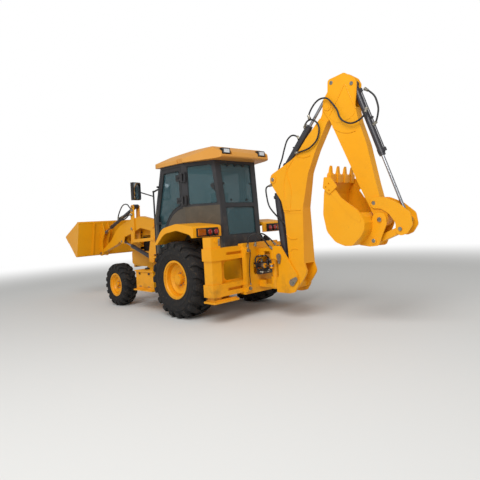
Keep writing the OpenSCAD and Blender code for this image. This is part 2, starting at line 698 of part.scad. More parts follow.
module mirrors() {
  color(black) at_axle() both_sides() {
    // grab rail from the pillar out to the deck, with the mirror's arm
    translate([1105, 655, 1030]) cylinder(r = 16, h = 1220);
    translate([1105, 655, 2235]) rotate([0, -78, 0]) {
      cylinder(r = 16, h = 313);
      // cross bar that lies against the cab's pillar
      translate([0, -20, 313]) rotate([-90, 0, 0]) cylinder(r = 18, h = 135);
    }
    translate([1105, 655, 2240]) sphere(r = 22);
    translate([1060, 640, 1020]) cube([90, 60, 12]);
    translate([1105, 655, 2150]) rotate([-75, 0, 0]) cylinder(r = 11, h = 330);
    translate([1075, 960, 2080]) rotate([0, 0, 15]) cube([60, 190, 330]);
  }
}

// Rear frame with its two cross beams and the stabilizer columns
col_mid = column_out - collar / 2;
col_x = -beam_back + collar / 2;
leg = 150;
pad_bottom = 335;
tie_hole = [-865, 492];
tie_z = 513;
tie_r = 20;
tie_t = 24;
module beam(z) {
  difference() {
    translate([-beam_back, -column_out + 20, z]) cube([beam_d, 2 * column_out - 40, beam_h]);
    both_sides() translate([-beam_back - 1, 470, z + beam_h / 2 - 22]) cube([50, 330, 44]);
    translate([-beam_back - 1, -440, z + beam_h / 2 - 22]) cube([50, 880, 44]);
  }
}
module rear_frame() {
  color(paint) at_axle() {
    difference() {
      union() {
        beam(beam_low_z);
        beam(beam_up_z);
        both_sides() {
          for (z = [beam_low_z, beam_up_z]) translate([-beam_back, column_out - collar, z])
            cube([collar, collar, beam_h]);
          translate([col_x - 95, col_mid - 95, beam_low_z + 10]) cube([190, 190, 1350 - beam_low_z - 10]);
        }
        // web between the beams with its round-cornered window
        difference() {
          translate([-beam_back + beam_d - 25, -column_out + collar, beam_low_z + 20])
            cube([25, 2 * (column_out - collar), beam_up_z - beam_low_z]);
          translate([-beam_back, 0, 0]) rotate([90, 0, 90]) linear_extrude(300)
            polygon(outline([[-760, 650, 70], [-760, 950, 70], [760, 950, 70], [760, 650, 70]]));
        }
      }
      both_sides() translate([col_x - leg / 2 - slide, col_mid - leg / 2 - slide, beam_low_z - 5])
        cube([leg + 2 * slide, leg + 2 * slide, 1325 - beam_low_z]);
    }
    both_sides() translate([col_x - 95, col_mid, 1290]) rotate([0, -90, 0]) cylinder(r = 26, h = 14);
    // flat lugs with a hole to tie the machine down
    both_sides() translate([0, 0, tie_z]) linear_extrude(tie_t) difference() {
      polygon(outline([[-beam_back + beam_d - 1, tie_hole[1] - 55, 0],
        [tie_hole[0] + 45, tie_hole[1] - 40, 38], [tie_hole[0] + 45, tie_hole[1] + 40, 38],
        [-beam_back + beam_d - 1, tie_hole[1] + 55, 0]]));
      translate(tie_hole) circle(r = tie_r);
    }
  }
}
module stabilizer(side) {
  color(paint) at_axle() translate([col_x, side * col_mid, 0]) {
    translate([-leg / 2, -leg / 2, pad_bottom + 30]) cube([leg, leg, 900]);
    translate([-130, side > 0 ? -400 : -110, pad_bottom]) cube([260, 510, 30]);
    for (x = [-100, 80]) translate([x, side > 0 ? -380 : -80, pad_bottom + 29]) cube([20, 460, 26]);
    translate([-leg / 2 - 15, -leg / 2 - 15, beam_low_z - slide - 12]) cube([leg + 30, leg + 30, 12]);
  }
}
module stabilizer_left() { stabilizer(1); }
module stabilizer_right() { stabilizer(-1); }

// Carriage that slides along the beams, with the lugs of the swing pin
car_half = 420;
car_x = -beam_back - slide;
lug_z = [480, 1060];
swing_r = 60;
ram_y = 95;
ram_z = 830;
module carriage() {
  color(paint) at_axle() translate([0, hoe_y, 0]) {
    difference() {
      translate([car_x - 36, -car_half, 395]) cube([36, 2 * car_half, 820]);
      translate([car_x - 40, 0, 0]) rotate([90, 0, 90]) linear_extrude(50)
        polygon(outline([[-200, 690, 50], [-200, 950, 50], [200, 950, 50], [200, 690, 50]]));
    }
    // hooks over the upper beam and under the lower one
    translate([car_x - 36, -car_half, beam_up_z + beam_h + slide]) cube([110, 2 * car_half, 34]);
    translate([car_x - 36, -car_half, beam_low_z - slide - 34]) cube([110, 2 * car_half, 34]);
    // clamp housings at the corners
    for (y = [-car_half + 60, car_half - 60], z = [beam_low_z + 60, beam_up_z + beam_h - 75])
      translate([car_x - 35, y, z]) rotate([0, -90, 0]) cylinder(r = 48, h = 55);
    for (y = [-car_half, car_half - 30]) translate([car_x - 75, y, 440]) cube([40, 30, 720]);
    // lugs of the swing pin
    difference() {
      for (z = lug_z) translate([0, 0, z]) linear_extrude(50) {
        polygon([[swing_x, -78], [swing_x, 78], [car_x - 30, 78], [car_x - 30, -78]]);
        translate([swing_x, 0]) circle(r = 84);
      }
      translate([swing_x, 0, 300]) cylinder(r = swing_r + fit, h = 1000);
    }
    for (z = [lug_z[0] + 50, lug_z[1] - 60]) for (y = [-75, 55])
      translate([car_x - 170, y, z]) cube([140, 20, 60]);
    // swing cylinders, held in the carriage's window
    for (y = [-ram_y, ram_y]) difference() {
      union() {
        translate([-920, y, ram_z]) rotate([0, -90, 0]) cylinder(r = 38, h = 340);
        translate([-920, y, ram_z]) rotate([0, -90, 0]) cylinder(r = 44, h = 40);
        translate([car_x - 36, y - 60, ram_z - 20]) cube([36, 120, 40]);
      }
      translate([-960, y, ram_z]) rotate([0, -90, 0]) cylinder(r = 15 + fit, h = 400);
    }
  }
}
module swing_rod(side) {
  color(steel) at_axle() translate([0, hoe_y + side * ram_y, ram_z]) {
    translate([-1070, 0, 0]) rotate([0, -90, 0]) cylinder(r = 15, h = -1070 - swing_x - 25);
    translate([swing_x, 0, -16]) cylinder(r = 30, h = 32);
  }
}
module swing_rod_left() { swing_rod(1); }
module swing_rod_right() { swing_rod(-1); }

module swing_post() {
  color(paint) at_axle() translate([0, hoe_y, 0]) {
    difference() {
      plate_pair(0, boom_foot_half + 6, post_t) polygon(outline([
        [-1500, 1150, 20], [-1660, 1150, 40], [-1960, 720, 0], [-1980, 560, 90],
        [-1900, 450, 60], [-1800, 426, 30], [-1545, 426, 20], [-1545, 560, 0],
        [-1600, 700, 40], [-1600, 920, 40], [-1500, 960, 0]]));
      bar_y(boom_foot, 0, 400, 40 + fit);
    }
    // hubs round the swing pin, webs to the plates and the pin itself
    for (row = [[lug_z[0] + 50 + slide, -1640, 95], [lug_z[1] - 120 - slide, -1550, 70]]) {
      translate([swing_x, 0, row[0]]) cylinder(r = 84, h = 120);
      translate([row[1], -boom_foot_half - 7, row[0]]) cube([row[2], 2 * boom_foot_half + 14, 120]);
      translate([-1550, -70, row[0]]) cube([150, 140, 120]);
    }
    translate([swing_x, 0, lug_z[0] - 20]) cylinder(r = swing_r, h = lug_z[1] - lug_z[0] + 90);
    for (z = [lug_z[0] - 20 - slide, lug_z[1] + 50 + slide])
      translate([swing_x, 0, z]) cylinder(r = 76, h = 20);
    // ears of the swing cylinders, above and below each rod's eye
    for (y = [-ram_y, ram_y], z = [ram_z - 36 - slide, ram_z + 16 + slide])
      translate([0, 0, z]) linear_extrude(20) {
        translate([swing_x, y]) circle(r = 34);
        translate([swing_x - 20, min(0, y)]) square([40, ram_y]);
      }
    bar_y(boom_foot, 0, 2 * (boom_foot_half + 6 + post_t) + 20, 40);
    // base pin of the boom cylinder
    bar_y(boom_cyl_base, 0, 2 * (boom_foot_half + 6), 34);
    plate_pair(0, boom_foot_half + 6 + post_t - 1, 9) translate(boom_cyl_base) circle(r = 52);
  }
}

// Boom: side outline from its foot pin, with the bend, the hump and the nose
boom_rows = moved([[-60, -85, 60], [70, -85, 90], [60, 173, 0], [100, 667, 0], [138, 1060, 120],
  [180, 1240, 150], [420, 1560, 75], [400, 1680, 75], [190, 1765, 120], [-104, 1892, 250],
  [-344, 2140, 0], [-640, 2410, 200], [-665, 2615, 80], [-850, 2615, 85], [-850, 2440, 60],
  [-752, 2337, 0], [-502, 1942, 300], [-343, 1624, 300], [-225, 1116, 200], [-215, 301, 100],
  [-261, 160, 80], [-174, 40, 100]], boom_foot);
// Space between the boom's tapering side faces, grown by the given amount
module boom_sides(grow) {
  foot = boom_foot_half + grow;
  top = boom_top_half + grow;
  translate([-3400, 0, 0]) rotate([90, 0, 90]) linear_extrude(3000)
    polygon([[-foot, 0], [-foot, 900], [-top, 2300], [-top, 4000], [top, 4000],
      [top, 2300], [foot, 900], [foot, 0]]);
}
boom_wing_t = 6;
boom_seam = 4;
module boom() {
  color(paint) at_axle() translate([0, hoe_y, 0]) difference() {
    union() {
      difference() {
        union() {
          intersection() {
            plate(-200, 400) polygon(outline(boom_rows));
            boom_sides(0);
          }
          // wing plates that stiffen the hump
          intersection() {
            plate(-200, 400) polygon(outline(moved([[142, 1075, 0], [186, 1244, 140],
              [414, 1562, 70], [394, 1672, 70], [186, 1757, 110], [60, 1806, 0], [60, 1640, 300],
              [-20, 1400, 300], [20, 1075, 0]], boom_foot)));
            boom_sides(boom_wing_t);
          }
          // raised seam where the two lengths of the box are welded
          intersection() {
            plate(-200, 400) polygon(moved2([[137, 1068], [-222, 1048], [-221, 1036], [136, 1056]],
              boom_foot));
            boom_sides(boom_seam);
          }
        }
        // slot for the two cylinders' ends between the hump's ears
        plate(-54, 108) polygon(moved2([[250, 1290], [130, 1330], [70, 1560], [30, 1720],
          [-150, 1830], [-150, 2100], [600, 2000], [600, 1290]], boom_foot));
        // foot fork, open to the rear
        plate(-boom_foot_half + 30, 2 * boom_foot_half - 60) polygon(moved2([[-60, 90],
          [-40, 290], [-400, 290], [-400, -200], [-60, -200]], boom_foot));
      }
      bar_y(boom_foot, 0, 2 * boom_foot_half, 75);
      // bosses on the hump's ears, with the head of the pin
      for (s = [-1, 1]) {
        bar_y(boom_cyl_eye, s * (boom_top_half + 6), 36, 60);
        bar_y(boom_cyl_eye, s * (boom_top_half + 24), 14, 30);
      }
    }
    bar_y(boom_foot, 0, 2 * boom_foot_half + 2, 40 + fit);
    // narrow nose for the dipper's plates
    for (s = [-1, 1]) bar_y(dip_pivot, s * (boom_top_half + 30 - 18), 60, 208);
    bar_y(dip_pivot, 0, 300, 32 + fit);
  }
  color(steel) at_axle() translate([0, hoe_y, 0]) {
    bar_y(dip_cyl_base, 0, 2 * boom_top_half - 10, 22);
  }
}

boom_ram_len = 1000;
module boom_barrel() {
  color(dark) at_axle() barrel(boom_cyl_base, boom_cyl_eye, hoe_y, boom_ram_len, 58, 68, 180, 905, 1);
}
module boom_rod() {
  color(steel) at_axle() rod(boom_cyl_base, boom_cyl_eye, hoe_y, boom_ram_len, 58, 48, 96, 870);
}

// Dipper: side outline from its pivot
dipper_rows = moved([[95, -20, 90], [70, 110, 60], [-10, 200, 60], [-25, 372, 48],
  [-150, 385, 60], [-295, 405, 60], [-440, 300, 60], [-478, 220, 50], [-465, 100, 60],
  [-436, -71, 60], [-471, -297, 200], [-569, -623, 0], [-670, -1166, 0], [-715, -1370, 100],
  [-800, -1560, 90], [-800, -1725, 85], [-625, -1725, 85], [-600, -1560, 60], [-395, -1110, 0],
  [-326, -929, 0], [-19, -203, 300]], dip_pivot);
dip_half = 66;
dip_pad_t = 4;
module dipper() {
  color(paint) at_axle() translate([0, hoe_y, 0]) difference() {
    union() {
      difference() {
        plate(-dip_half, 2 * dip_half) polygon(outline(dipper_rows));
        // open head between the plates
        plate(-50, 100) polygon(moved2([[200, 600], [-700, 600], [-700, -60], [-440, -100],
          [-260, -230], [-60, -330], [200, -300]], dip_pivot));
      }
      // stiffening plates round the head's pins, with a curved lower edge
      plate_pair(0, dip_half - 1, 1 + dip_pad_t) polygon(outline(moved([[60, 90, 40],
        [-20, 190, 50], [-38, 355, 40], [-150, 368, 50], [-290, 388, 50], [-425, 290, 50],
        [-460, 215, 40], [-448, 100, 50], [-424, -50, 60], [-440, -180, 80], [-330, -250, 160],
        [-120, -270, 160], [-20, -160, 100], [75, -10, 60]], dip_pivot)));
      for (s = [-1, 1]) {
        bar_y(guide_pin, s * (dip_half + 1), 8 - 2 * slide, 62);
        bar_y(bkt_hinge, s * (dip_half + 10), 23.4, 70);
      }
    }
    bar_y(guide_pin, 0, 300, 28 + fit);
    bar_y(bkt_hinge, 0, 300, 32 + fit);
  }
  color(steel) at_axle() translate([0, hoe_y, 0]) {
    bar_y(dip_pivot, 0, 2 * dip_half + 30, 32);
    for (s = [-1, 1]) bar_y(dip_pivot, s * (dip_half + 6), 14, 60);
    bar_y(bkt_cyl_base, 0, 2 * dip_half + 20, 24);
  }
}
dip_ram_len = 860;
module dipper_barrel() {
  color(dark) at_axle() barrel(dip_cyl_base, dip_cyl_eye, hoe_y, dip_ram_len, 45, 44, 100, 800, 1);
}
module dipper_rod() {
  color(steel) at_axle() rod(dip_cyl_base, dip_cyl_eye, hoe_y, dip_ram_len, 45, 42, 92, 255);
}
bkt_ram_len = 1080;
module bucket_barrel() {
  color(dark) at_axle() barrel(bkt_cyl_base, bkt_cyl_eye, hoe_y, bkt_ram_len, 42, 48, 96, 1020, 1);
}
module bucket_rod() {
  color(steel) at_axle() rod(bkt_cyl_base, bkt_cyl_eye, hoe_y, bkt_ram_len, 42, 42, 96, 270);
}
guide_rows = moved([[40, 80, 60], [-150, 70, 200], [-340, -20, 200], [-490, -150, 70],
  [-510, -300, 60], [-440, -400, 60], [-340, -440, 60], [-285, -380, 60], [-290, -270, 100],
  [-210, -150, 150], [-100, -75, 150], [40, -70, 60]], guide_pin);
guide_in = dip_half + 5;
guide_t = 15;
ear_in = 88;
module guide_link() {
  color(paint) at_axle() translate([0, hoe_y, 0]) {
    difference() {
      plate_pair(0, guide_in, guide_t) polygon(outline(guide_rows));
      bar_y(guide_pin, 0, 300, 28 + fit);
      bar_y(link_pin, 0, 300, 26 + fit);
    }
    for (s = [-1, 1]) bar_y(bkt_cyl_eye, s * 60, 22, 50);
  }
}
module bucket_link() {
  half = 45;
  dir = heading(bkt_ear - link_pin);
  color(paint) at_axle() translate([0, hoe_y, 0]) {
    difference() {
      union() {
        translate([link_pin[0], 0, link_pin[1]]) rotate([0, -dir, 0])
          translate([0, -half, -42]) cube([norm(bkt_ear - link_pin), 2 * half, 84]);
        bar_y(link_pin, 0, 2 * guide_in - 1, 50);
        bar_y(bkt_ear, 0, 2 * ear_in - 1, 50);
      }
      bar_y(bkt_ear, 0, 300, 30);
    }
    bar_y(link_pin, 0, 2 * (guide_in + guide_t) + 24, 26);
    bar_y(bkt_ear, 0, 2 * ear_in - 1, 30);
  }
}
// Digging bucket: shell, side plates, teeth and ears from its hinge pin
module hoe_bucket() {
  half = hoe_bucket_w / 2;
  t = hoe_bucket_t;
  shell = moved([[648, 560, 0], [700, 400, 80], [735, 110, 250], [690, -130, 160],
    [560, -275, 160], [420, -326, 100], [310, -326, 60], [170, -200, 40], [118, -120, 30],
    [108, -30, 0], [135, 45, 0]], bkt_hinge);
  inner = moved([[620, 560, 0], [680, 400, 80], [712, 110, 240], [668, -122, 150],
    [548, -258, 150], [416, -304, 90], [322, -304, 50], [186, -184, 40], [138, -108, 20],
    [130, -28, 0], [158, 50, 0], [400, 800, 0]], bkt_hinge);
  color(paint) at_axle() translate([0, hoe_y, 0]) {
    difference() {
      union() {
        difference() {
          plate(-half, 2 * half) polygon(outline(concat(shell,
            moved([[200, 140, 100], [440, 320, 60], [600, 560, 0]], bkt_hinge))));
          plate(-half + t, 2 * (half - t)) polygon(outline(inner));
        }
        // lip plate and its teeth
        translate([bkt_hinge[0] + 600, -half, bkt_hinge[1] + 545]) rotate([0, -8, 0])
          cube([26, 2 * half, 110]);
        for (i = [0:teeth - 1])
          translate([bkt_hinge[0] + 592, -half + 45 + i * (2 * half - 90) / (teeth - 1),
            bkt_hinge[1] + 600]) rotate([0, -6, 0]) tooth();
        // cheeks stiffened along their open edge, and the bolted side cutters
        plate_pair(0, half - 1, 1 + cheek_t) polygon(outline(moved([[148, 36, 30], [205, 136, 100],
          [440, 316, 60], [598, 552, 20], [640, 552, 0], [662, 470, 40], [420, 190, 200],
          [300, 60, 100], [166, -30, 20]], bkt_hinge)));
        plate_pair(0, half + cheek_t - 1, 1 + cutter_t) difference() {
          polygon(outline(moved([[470, 470, 20], [560, 600, 20], [672, 620, 20], [700, 470, 20],
            [600, 380, 20]], bkt_hinge)));
          for (hole = [[600, 430], [650, 480], [600, 520]]) translate(bkt_hinge + hole)
            circle(r = 11);
        }
        // wear strips round the heel
        for (y = [-half + 60, half - 140]) plate(y, 80) polygon(outline(moved([
          [712, 380, 0], [747, 110, 250], [702, -140, 160], [566, -289, 160], [460, -322, 0],
          [470, -290, 0], [560, -262, 150], [682, -122, 150], [728, 110, 240], [694, 380, 0]],
          bkt_hinge)));
        // ears that carry the hinge and the link's pin
        for (s = [0, 1]) mirror([0, s, 0]) plate(ear_in, 20) polygon(outline(moved([
          [-80, 90, 80], [80, 90, 60], [150, -100, 60], [330, -300, 0], [310, -330, 0],
          [170, -350, 60], [40, -340, 60], [-20, -200, 100], [-90, -60, 80]], bkt_hinge)));
      }
      bar_y(bkt_hinge, 0, 2 * ear_in + 60, 32 + fit);
    }
    bar_y(bkt_hinge, 0, 2 * ear_in + 70, 32);
    for (s = [-1, 1]) bar_y(bkt_ear, s * (ear_in + 16), 32, 40);
  }
}
cheek_t = 6;
cutter_t = 16;
// Tooth point of width 56 on an adapter that straddles the lip
module tooth() {
  plate(-28, 56) polygon([[-6, 40], [40, 40], [24, 140], [12, 168], [6, 140]]);
  plate(-38, 76) polygon([[-16, -60], [-16, 40], [-6, 66], [40, 66], [50, 40], [50, -60]]);
}

// Loader: arms, levers, cylinders and bucket
// Point a share of the way from the lift cylinder's eye to the arm's tip
function reach(share) = lift_eye + share * (arm_tip - lift_eye);
// Row of an outline: a point, its offset and the fillet's radius
function row(p, by, r) = [p[0] + by[0], p[1] + by[1], r];
arm_rows = [row(arm_hinge, [-100, -90], 80), row(arm_hinge, [-90, 100], 80), row(arm_hinge, [90, 125], 60),
  row(lever_pin, [-297, 248], 200), row(lever_pin, [174, 190], 200), row(lift_eye, [80, 328], 120),
  row(reach(0.3), [-3, 294], 100), row(reach(0.52), [3, 160], 150), row(arm_tip, [-60, 90], 60),
  row(arm_tip, [45, 37], 48), row(arm_tip, [45, -47], 48), row(arm_tip, [-30, -47], 30),
  row(arm_tip, [-75, 27], 20), row(arm_tip, [-180, 49], 60), row(reach(0.25), [0, -2], 100),
  row(lift_eye, [-18, 65], 100), row(lever_pin, [135, -105], 200), row(lever_pin, [-272, 10], 150),
  row(arm_hinge, [150, -100], 100)];
cross_tube = lift_eye + [330, 45];
module loader_arms() {
  color(paint) at_axle() {
    both_sides() difference() {
      union() {
        difference() {
          union() {
            plate(arm_y - arm_w / 2, arm_w) polygon(outline(arm_rows));
            // bracket under the arm for the lift cylinder
            plate_pair(arm_y, arm_w / 2 - 1, 13) polygon(outline(moved([[-140, 110, 0], [180, 28, 0],
              [70, -23, 60], [0, -52, 50], [-80, -50, 60]], lift_eye)));
          }
          // room for the eye of the lift cylinder's rod
          plate(arm_y - 36, 72) polygon(moved2([[-160, -140], [-160, 110], [-80, 155], [90, 155],
            [100, -140]], lift_eye));
        }
        bar_y(arm_hinge, arm_y, arm_w + 2 * (clear - slide), 75);
        bar_y(lever_pin, arm_y, arm_w + 2 * (clear - slide), 60);
        bar_y(arm_tip, arm_y, arm_w + 2 * (clear - slide), 50);
      }
      bar_y(arm_hinge, arm_y, 300, 42 + fit);
      bar_y(arm_tip, arm_y, 300, 28 + fit);
    }
    // cross tube between the arms
    difference() {
      bar_y(cross_tube, 0, 2 * arm_y - arm_w + 2, 66);
      bar_y(cross_tube, -arm_y - 30, 100, 50);
    }
    both_sides() bar_y(lever_pin, arm_y, arm_w + 90, 30);
    both_sides() for (s = [-1, 1]) bar_y(lift_eye, arm_y + s * 50, 28, 46);
  }
}
lift_rod_out = 339;
lift_foot = 64;
lift_ram_len = norm(lift_eye - lift_base) - lift_rod_out;
lift_bore = lift_ram_len - lift_foot;
module lift_barrels() {
  color(dark) at_axle() both_sides()
    barrel(lift_base, lift_eye, arm_y, lift_ram_len, 40, 50, arm_w - 10, lift_bore);
}
module lift_rods() {
  color(steel) at_axle() both_sides()
    rod(lift_base, lift_eye, arm_y, lift_ram_len, 40, 44, 56, lift_bore - 216);
}
lever_in = arm_w / 2 + clear;
lever_t = 20;
module tilt_levers() {
  color(paint) at_axle() both_sides() {
    plate_pair(arm_y, lever_in, lever_t) difference() {
      polygon(outline([[1975, 2050, 55], [2090, 2050, 55], [2130, 1550, 300],
        [2140, 1240, 55], [2015, 1240, 55], [1985, 1550, 300]]));
      translate(lever_pin) circle(r = 30 + fit);
    }
    bar_y(lever_top, arm_y, 2 * (lever_in + lever_t) + 20, 23);
    for (s = [-1, 1])
      bar_y(lever_low, arm_y + s * (lever_in + link_in + link_t + 8) / 2,
        link_in + link_t + 8 - lever_in, 22);
  }
}
module lever_links() {
  color(paint) at_axle() both_sides() plate_pair(arm_y, link_in, link_t) difference() {
    union() {
      translate(link_base) rotate(heading(lever_low - link_base))
        translate([0, -32]) square([norm(lever_low - link_base), 64]);
      translate(link_base) circle(r = 46);
      translate(lever_low) circle(r = 44);
    }
    translate(link_base) circle(r = 24 + fit);
    translate(lever_low) circle(r = 22 + fit);
  }
}
// rod that shows, and the solid foot of the barrel
tilt_rod_out = 289.5;
tilt_foot = 300;
tilt_ram_len = norm(tilt_ear - lever_top) - tilt_rod_out;
tilt_bore = tilt_ram_len - tilt_foot;
module tilt_barrels() {
  color(dark) at_axle() both_sides()
    barrel(lever_top, tilt_ear, arm_y, tilt_ram_len, 36, 46, arm_w, tilt_bore);
}
module tilt_rods() {
  color(steel) at_axle() both_sides()
    rod(lever_top, tilt_ear, arm_y, tilt_ram_len, 36, 34, 64, tilt_bore - 30);
}
module loader_pins() {
  color(steel) at_axle() both_sides() bar_y(arm_tip, arm_y, arm_w + 110, 28);
}
module loader_bucket() {
  half = bucket_w / 2;
  t = bucket_t;
  color(paint) at_axle() {
    difference() {
      plate(-half, bucket_w) polygon(outline(moved([[-105, 735, 0], [-30, 735, 0],
        [640, 428, 0], [125, -45, 54], [70, -45, 36]], arm_tip)));
      plate(-half + t, bucket_w - 2 * t) polygon(outline(moved([[-88, 719, 0], [-60, 900, 0],
        [700, 900, 0], [640, 450, 0], [120, -28, 38], [86, -28, 18]], arm_tip)));
    }
    // wear plate under the lip and the rail along the top
    translate([arm_tip[0] + 640, -half, arm_tip[1] + 428]) rotate([0, 227.4, 0])
      translate([-13, 0, 14]) cube([14, bucket_w, 200]);
    translate([arm_tip[0] - 105, -half, arm_tip[1] + 705]) cube([90, bucket_w, 40]);
    // ears for the arm and the tilt rod
    both_sides() for (y = [arm_y - lever_in - 20, arm_y + lever_in]) plate(y, 20)
      difference() {
        polygon(outline([row(arm_tip, [-60, -60], 60), row(arm_tip, [56, -60], 0),
          row(arm_tip, [70, -10], 0), row(arm_tip, [-88, 695], 0), row(arm_tip, [-108, 695], 0),
          row(tilt_ear, [-64, 45], 60), row(tilt_ear, [-60, -50], 60),
          row(arm_tip, [-70, 275], 200), row(arm_tip, [-60, 75], 60)]));
        translate(arm_tip) circle(r = 28 + fit);
      }
    both_sides() for (s = [-1, 1]) bar_y(tilt_ear, arm_y + s * 48, 20, 44);
    both_sides() for (y = [330, 780]) plate(y, 16) polygon(moved2([[-135, 710], [30, -25],
      [72, -25], [-92, 710]], arm_tip));
  }
}

chassis_frame();
loader_towers();
engine_block();
hood();
front_grille();
rear_axle();
front_axle();
cab_frame();
cab_roof();
cab_glass();
glass_fittings();
rear_fenders();
side_boxes();
lamps();
lamp_housings();
cab_interior();
seat_cushions();
mirrors();
rear_frame();
tyre_rear_left();
tyre_rear_right();
rim_rear_left();
rim_rear_right();
knuckle_left();
knuckle_right();
tyre_front_left();
tyre_front_right();
rim_front_left();
rim_front_right();
door_left();
door_right();
door_glass_left();
door_glass_right();
loader_arms();
lift_barrels();
lift_rods();
tilt_levers();
lever_links();
tilt_barrels();
tilt_rods();
loader_pins();
loader_bucket();
stabilizer_left();
stabilizer_right();
carriage();
swing_rod_left();
swing_rod_right();
swing_post();
boom();
boom_barrel();
boom_rod();
dipper();
dipper_barrel();
dipper_rod();
bucket_barrel();
bucket_rod();
guide_link();
bucket_link();
hoe_bucket();
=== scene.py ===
import json
import math
import bmesh
import bpy
import numpy as np
from mathutils import Matrix


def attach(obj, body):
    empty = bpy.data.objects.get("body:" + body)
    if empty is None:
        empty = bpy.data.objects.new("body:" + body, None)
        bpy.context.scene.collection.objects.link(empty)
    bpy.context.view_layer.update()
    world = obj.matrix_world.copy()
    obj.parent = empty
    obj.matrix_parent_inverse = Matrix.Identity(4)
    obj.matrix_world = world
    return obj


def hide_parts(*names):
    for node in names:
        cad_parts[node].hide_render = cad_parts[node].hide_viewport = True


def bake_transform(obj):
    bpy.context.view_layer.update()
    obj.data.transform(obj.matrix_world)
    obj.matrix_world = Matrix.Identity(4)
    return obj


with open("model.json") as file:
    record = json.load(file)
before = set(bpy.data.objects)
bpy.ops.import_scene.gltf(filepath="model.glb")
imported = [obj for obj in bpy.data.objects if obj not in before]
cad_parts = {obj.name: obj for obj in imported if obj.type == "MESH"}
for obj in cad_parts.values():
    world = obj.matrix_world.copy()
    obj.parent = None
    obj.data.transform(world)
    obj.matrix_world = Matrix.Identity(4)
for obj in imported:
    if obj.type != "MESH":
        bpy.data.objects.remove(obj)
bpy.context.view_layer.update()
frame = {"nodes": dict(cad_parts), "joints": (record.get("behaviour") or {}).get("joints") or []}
parts = frame["nodes"]
print("frame loaded:", len(parts), "parts")


# camera, at the photo's viewing angle
camera = {
    "place": (-6.4251, 5.4326, 1.5663),   # metres, in the machine's frame
    "yaw": -0.7671, "pitch": 0.0181, "roll": -0.0595,   # radians
    "focal": 444.92, "frameWidth": 480.0, "opticalRow": 213.5,   # pixels
}


def addCamera(c):
    cosP, sinP = math.cos(c["pitch"]), math.sin(c["pitch"])
    ahead = np.array([cosP * math.cos(c["yaw"]), cosP * math.sin(c["yaw"]), sinP])
    right = np.array([math.sin(c["yaw"]), -math.cos(c["yaw"]), 0.0])
    up = np.cross(right, ahead)
    cosR, sinR = math.cos(c["roll"]), math.sin(c["roll"])
    right, up = cosR * right + sinR * up, cosR * up - sinR * right
    data = bpy.data.cameras.new("camera")
    data.sensor_width = 36.0
    data.lens = c["focal"] / c["frameWidth"] * data.sensor_width
    data.shift_y = (c["opticalRow"] - c["frameWidth"] / 2) / c["frameWidth"]
    data.clip_end = 200.0
    eye = bpy.data.objects.new("camera", data)
    bpy.context.scene.collection.objects.link(eye)
    matrix = np.eye(4)
    matrix[:3, 0], matrix[:3, 1], matrix[:3, 2], matrix[:3, 3] = right, up, -ahead, c["place"]
    eye.matrix_world = Matrix(matrix.tolist())
    bpy.context.scene.camera = eye


addCamera(camera)
bpy.context.scene.view_settings.view_transform = "Standard"


# shader maths
class Signal:   # one socket; +, -, * and ** on it add Math nodes
    def __init__(self, finish, socket):
        self.finish, self.socket = finish, socket

    def maths(self, operation, *values):
        return self.finish.add("ShaderNodeMath", {"operation": operation}, dict(enumerate(values)))

    def __add__(self, other):
        return self.maths("ADD", self, other)

    def __radd__(self, other):
        return self.maths("ADD", other, self)

    def __sub__(self, other):
        return self.maths("SUBTRACT", self, other)

    def __rsub__(self, other):
        return self.maths("SUBTRACT", other, self)

    def __mul__(self, other):
        return self.maths("MULTIPLY", self, other)

    def __rmul__(self, other):
        return self.maths("MULTIPLY", other, self)

    def __pow__(self, other):
        return self.maths("POWER", self, other)

    def smallest(self, other):
        return self.maths("MINIMUM", self, other)

    def largest(self, other):
        return self.maths("MAXIMUM", self, other)

    def size(self):
        return self.maths("ABSOLUTE", self)

    def beside(self, output):   # another output of the same node
        return Signal(self.finish, self.socket.node.outputs[output])


class NodeTree:   # nodes of a material or of the world
    def __init__(self, owner):
        owner.use_nodes = True
        self.tree = owner.node_tree
        self.tree.nodes.clear()

    def add(self, kind, settings, values, output=0):
        node = self.tree.nodes.new(kind)
        for key, value in settings.items():
            setattr(node, key, value)
        for key, value in values.items():
            if isinstance(value, Signal):
                self.tree.links.new(value.socket, node.inputs[key])
            else:
                node.inputs[key].default_value = value
        return Signal(self, node.outputs[output]) if node.outputs else None


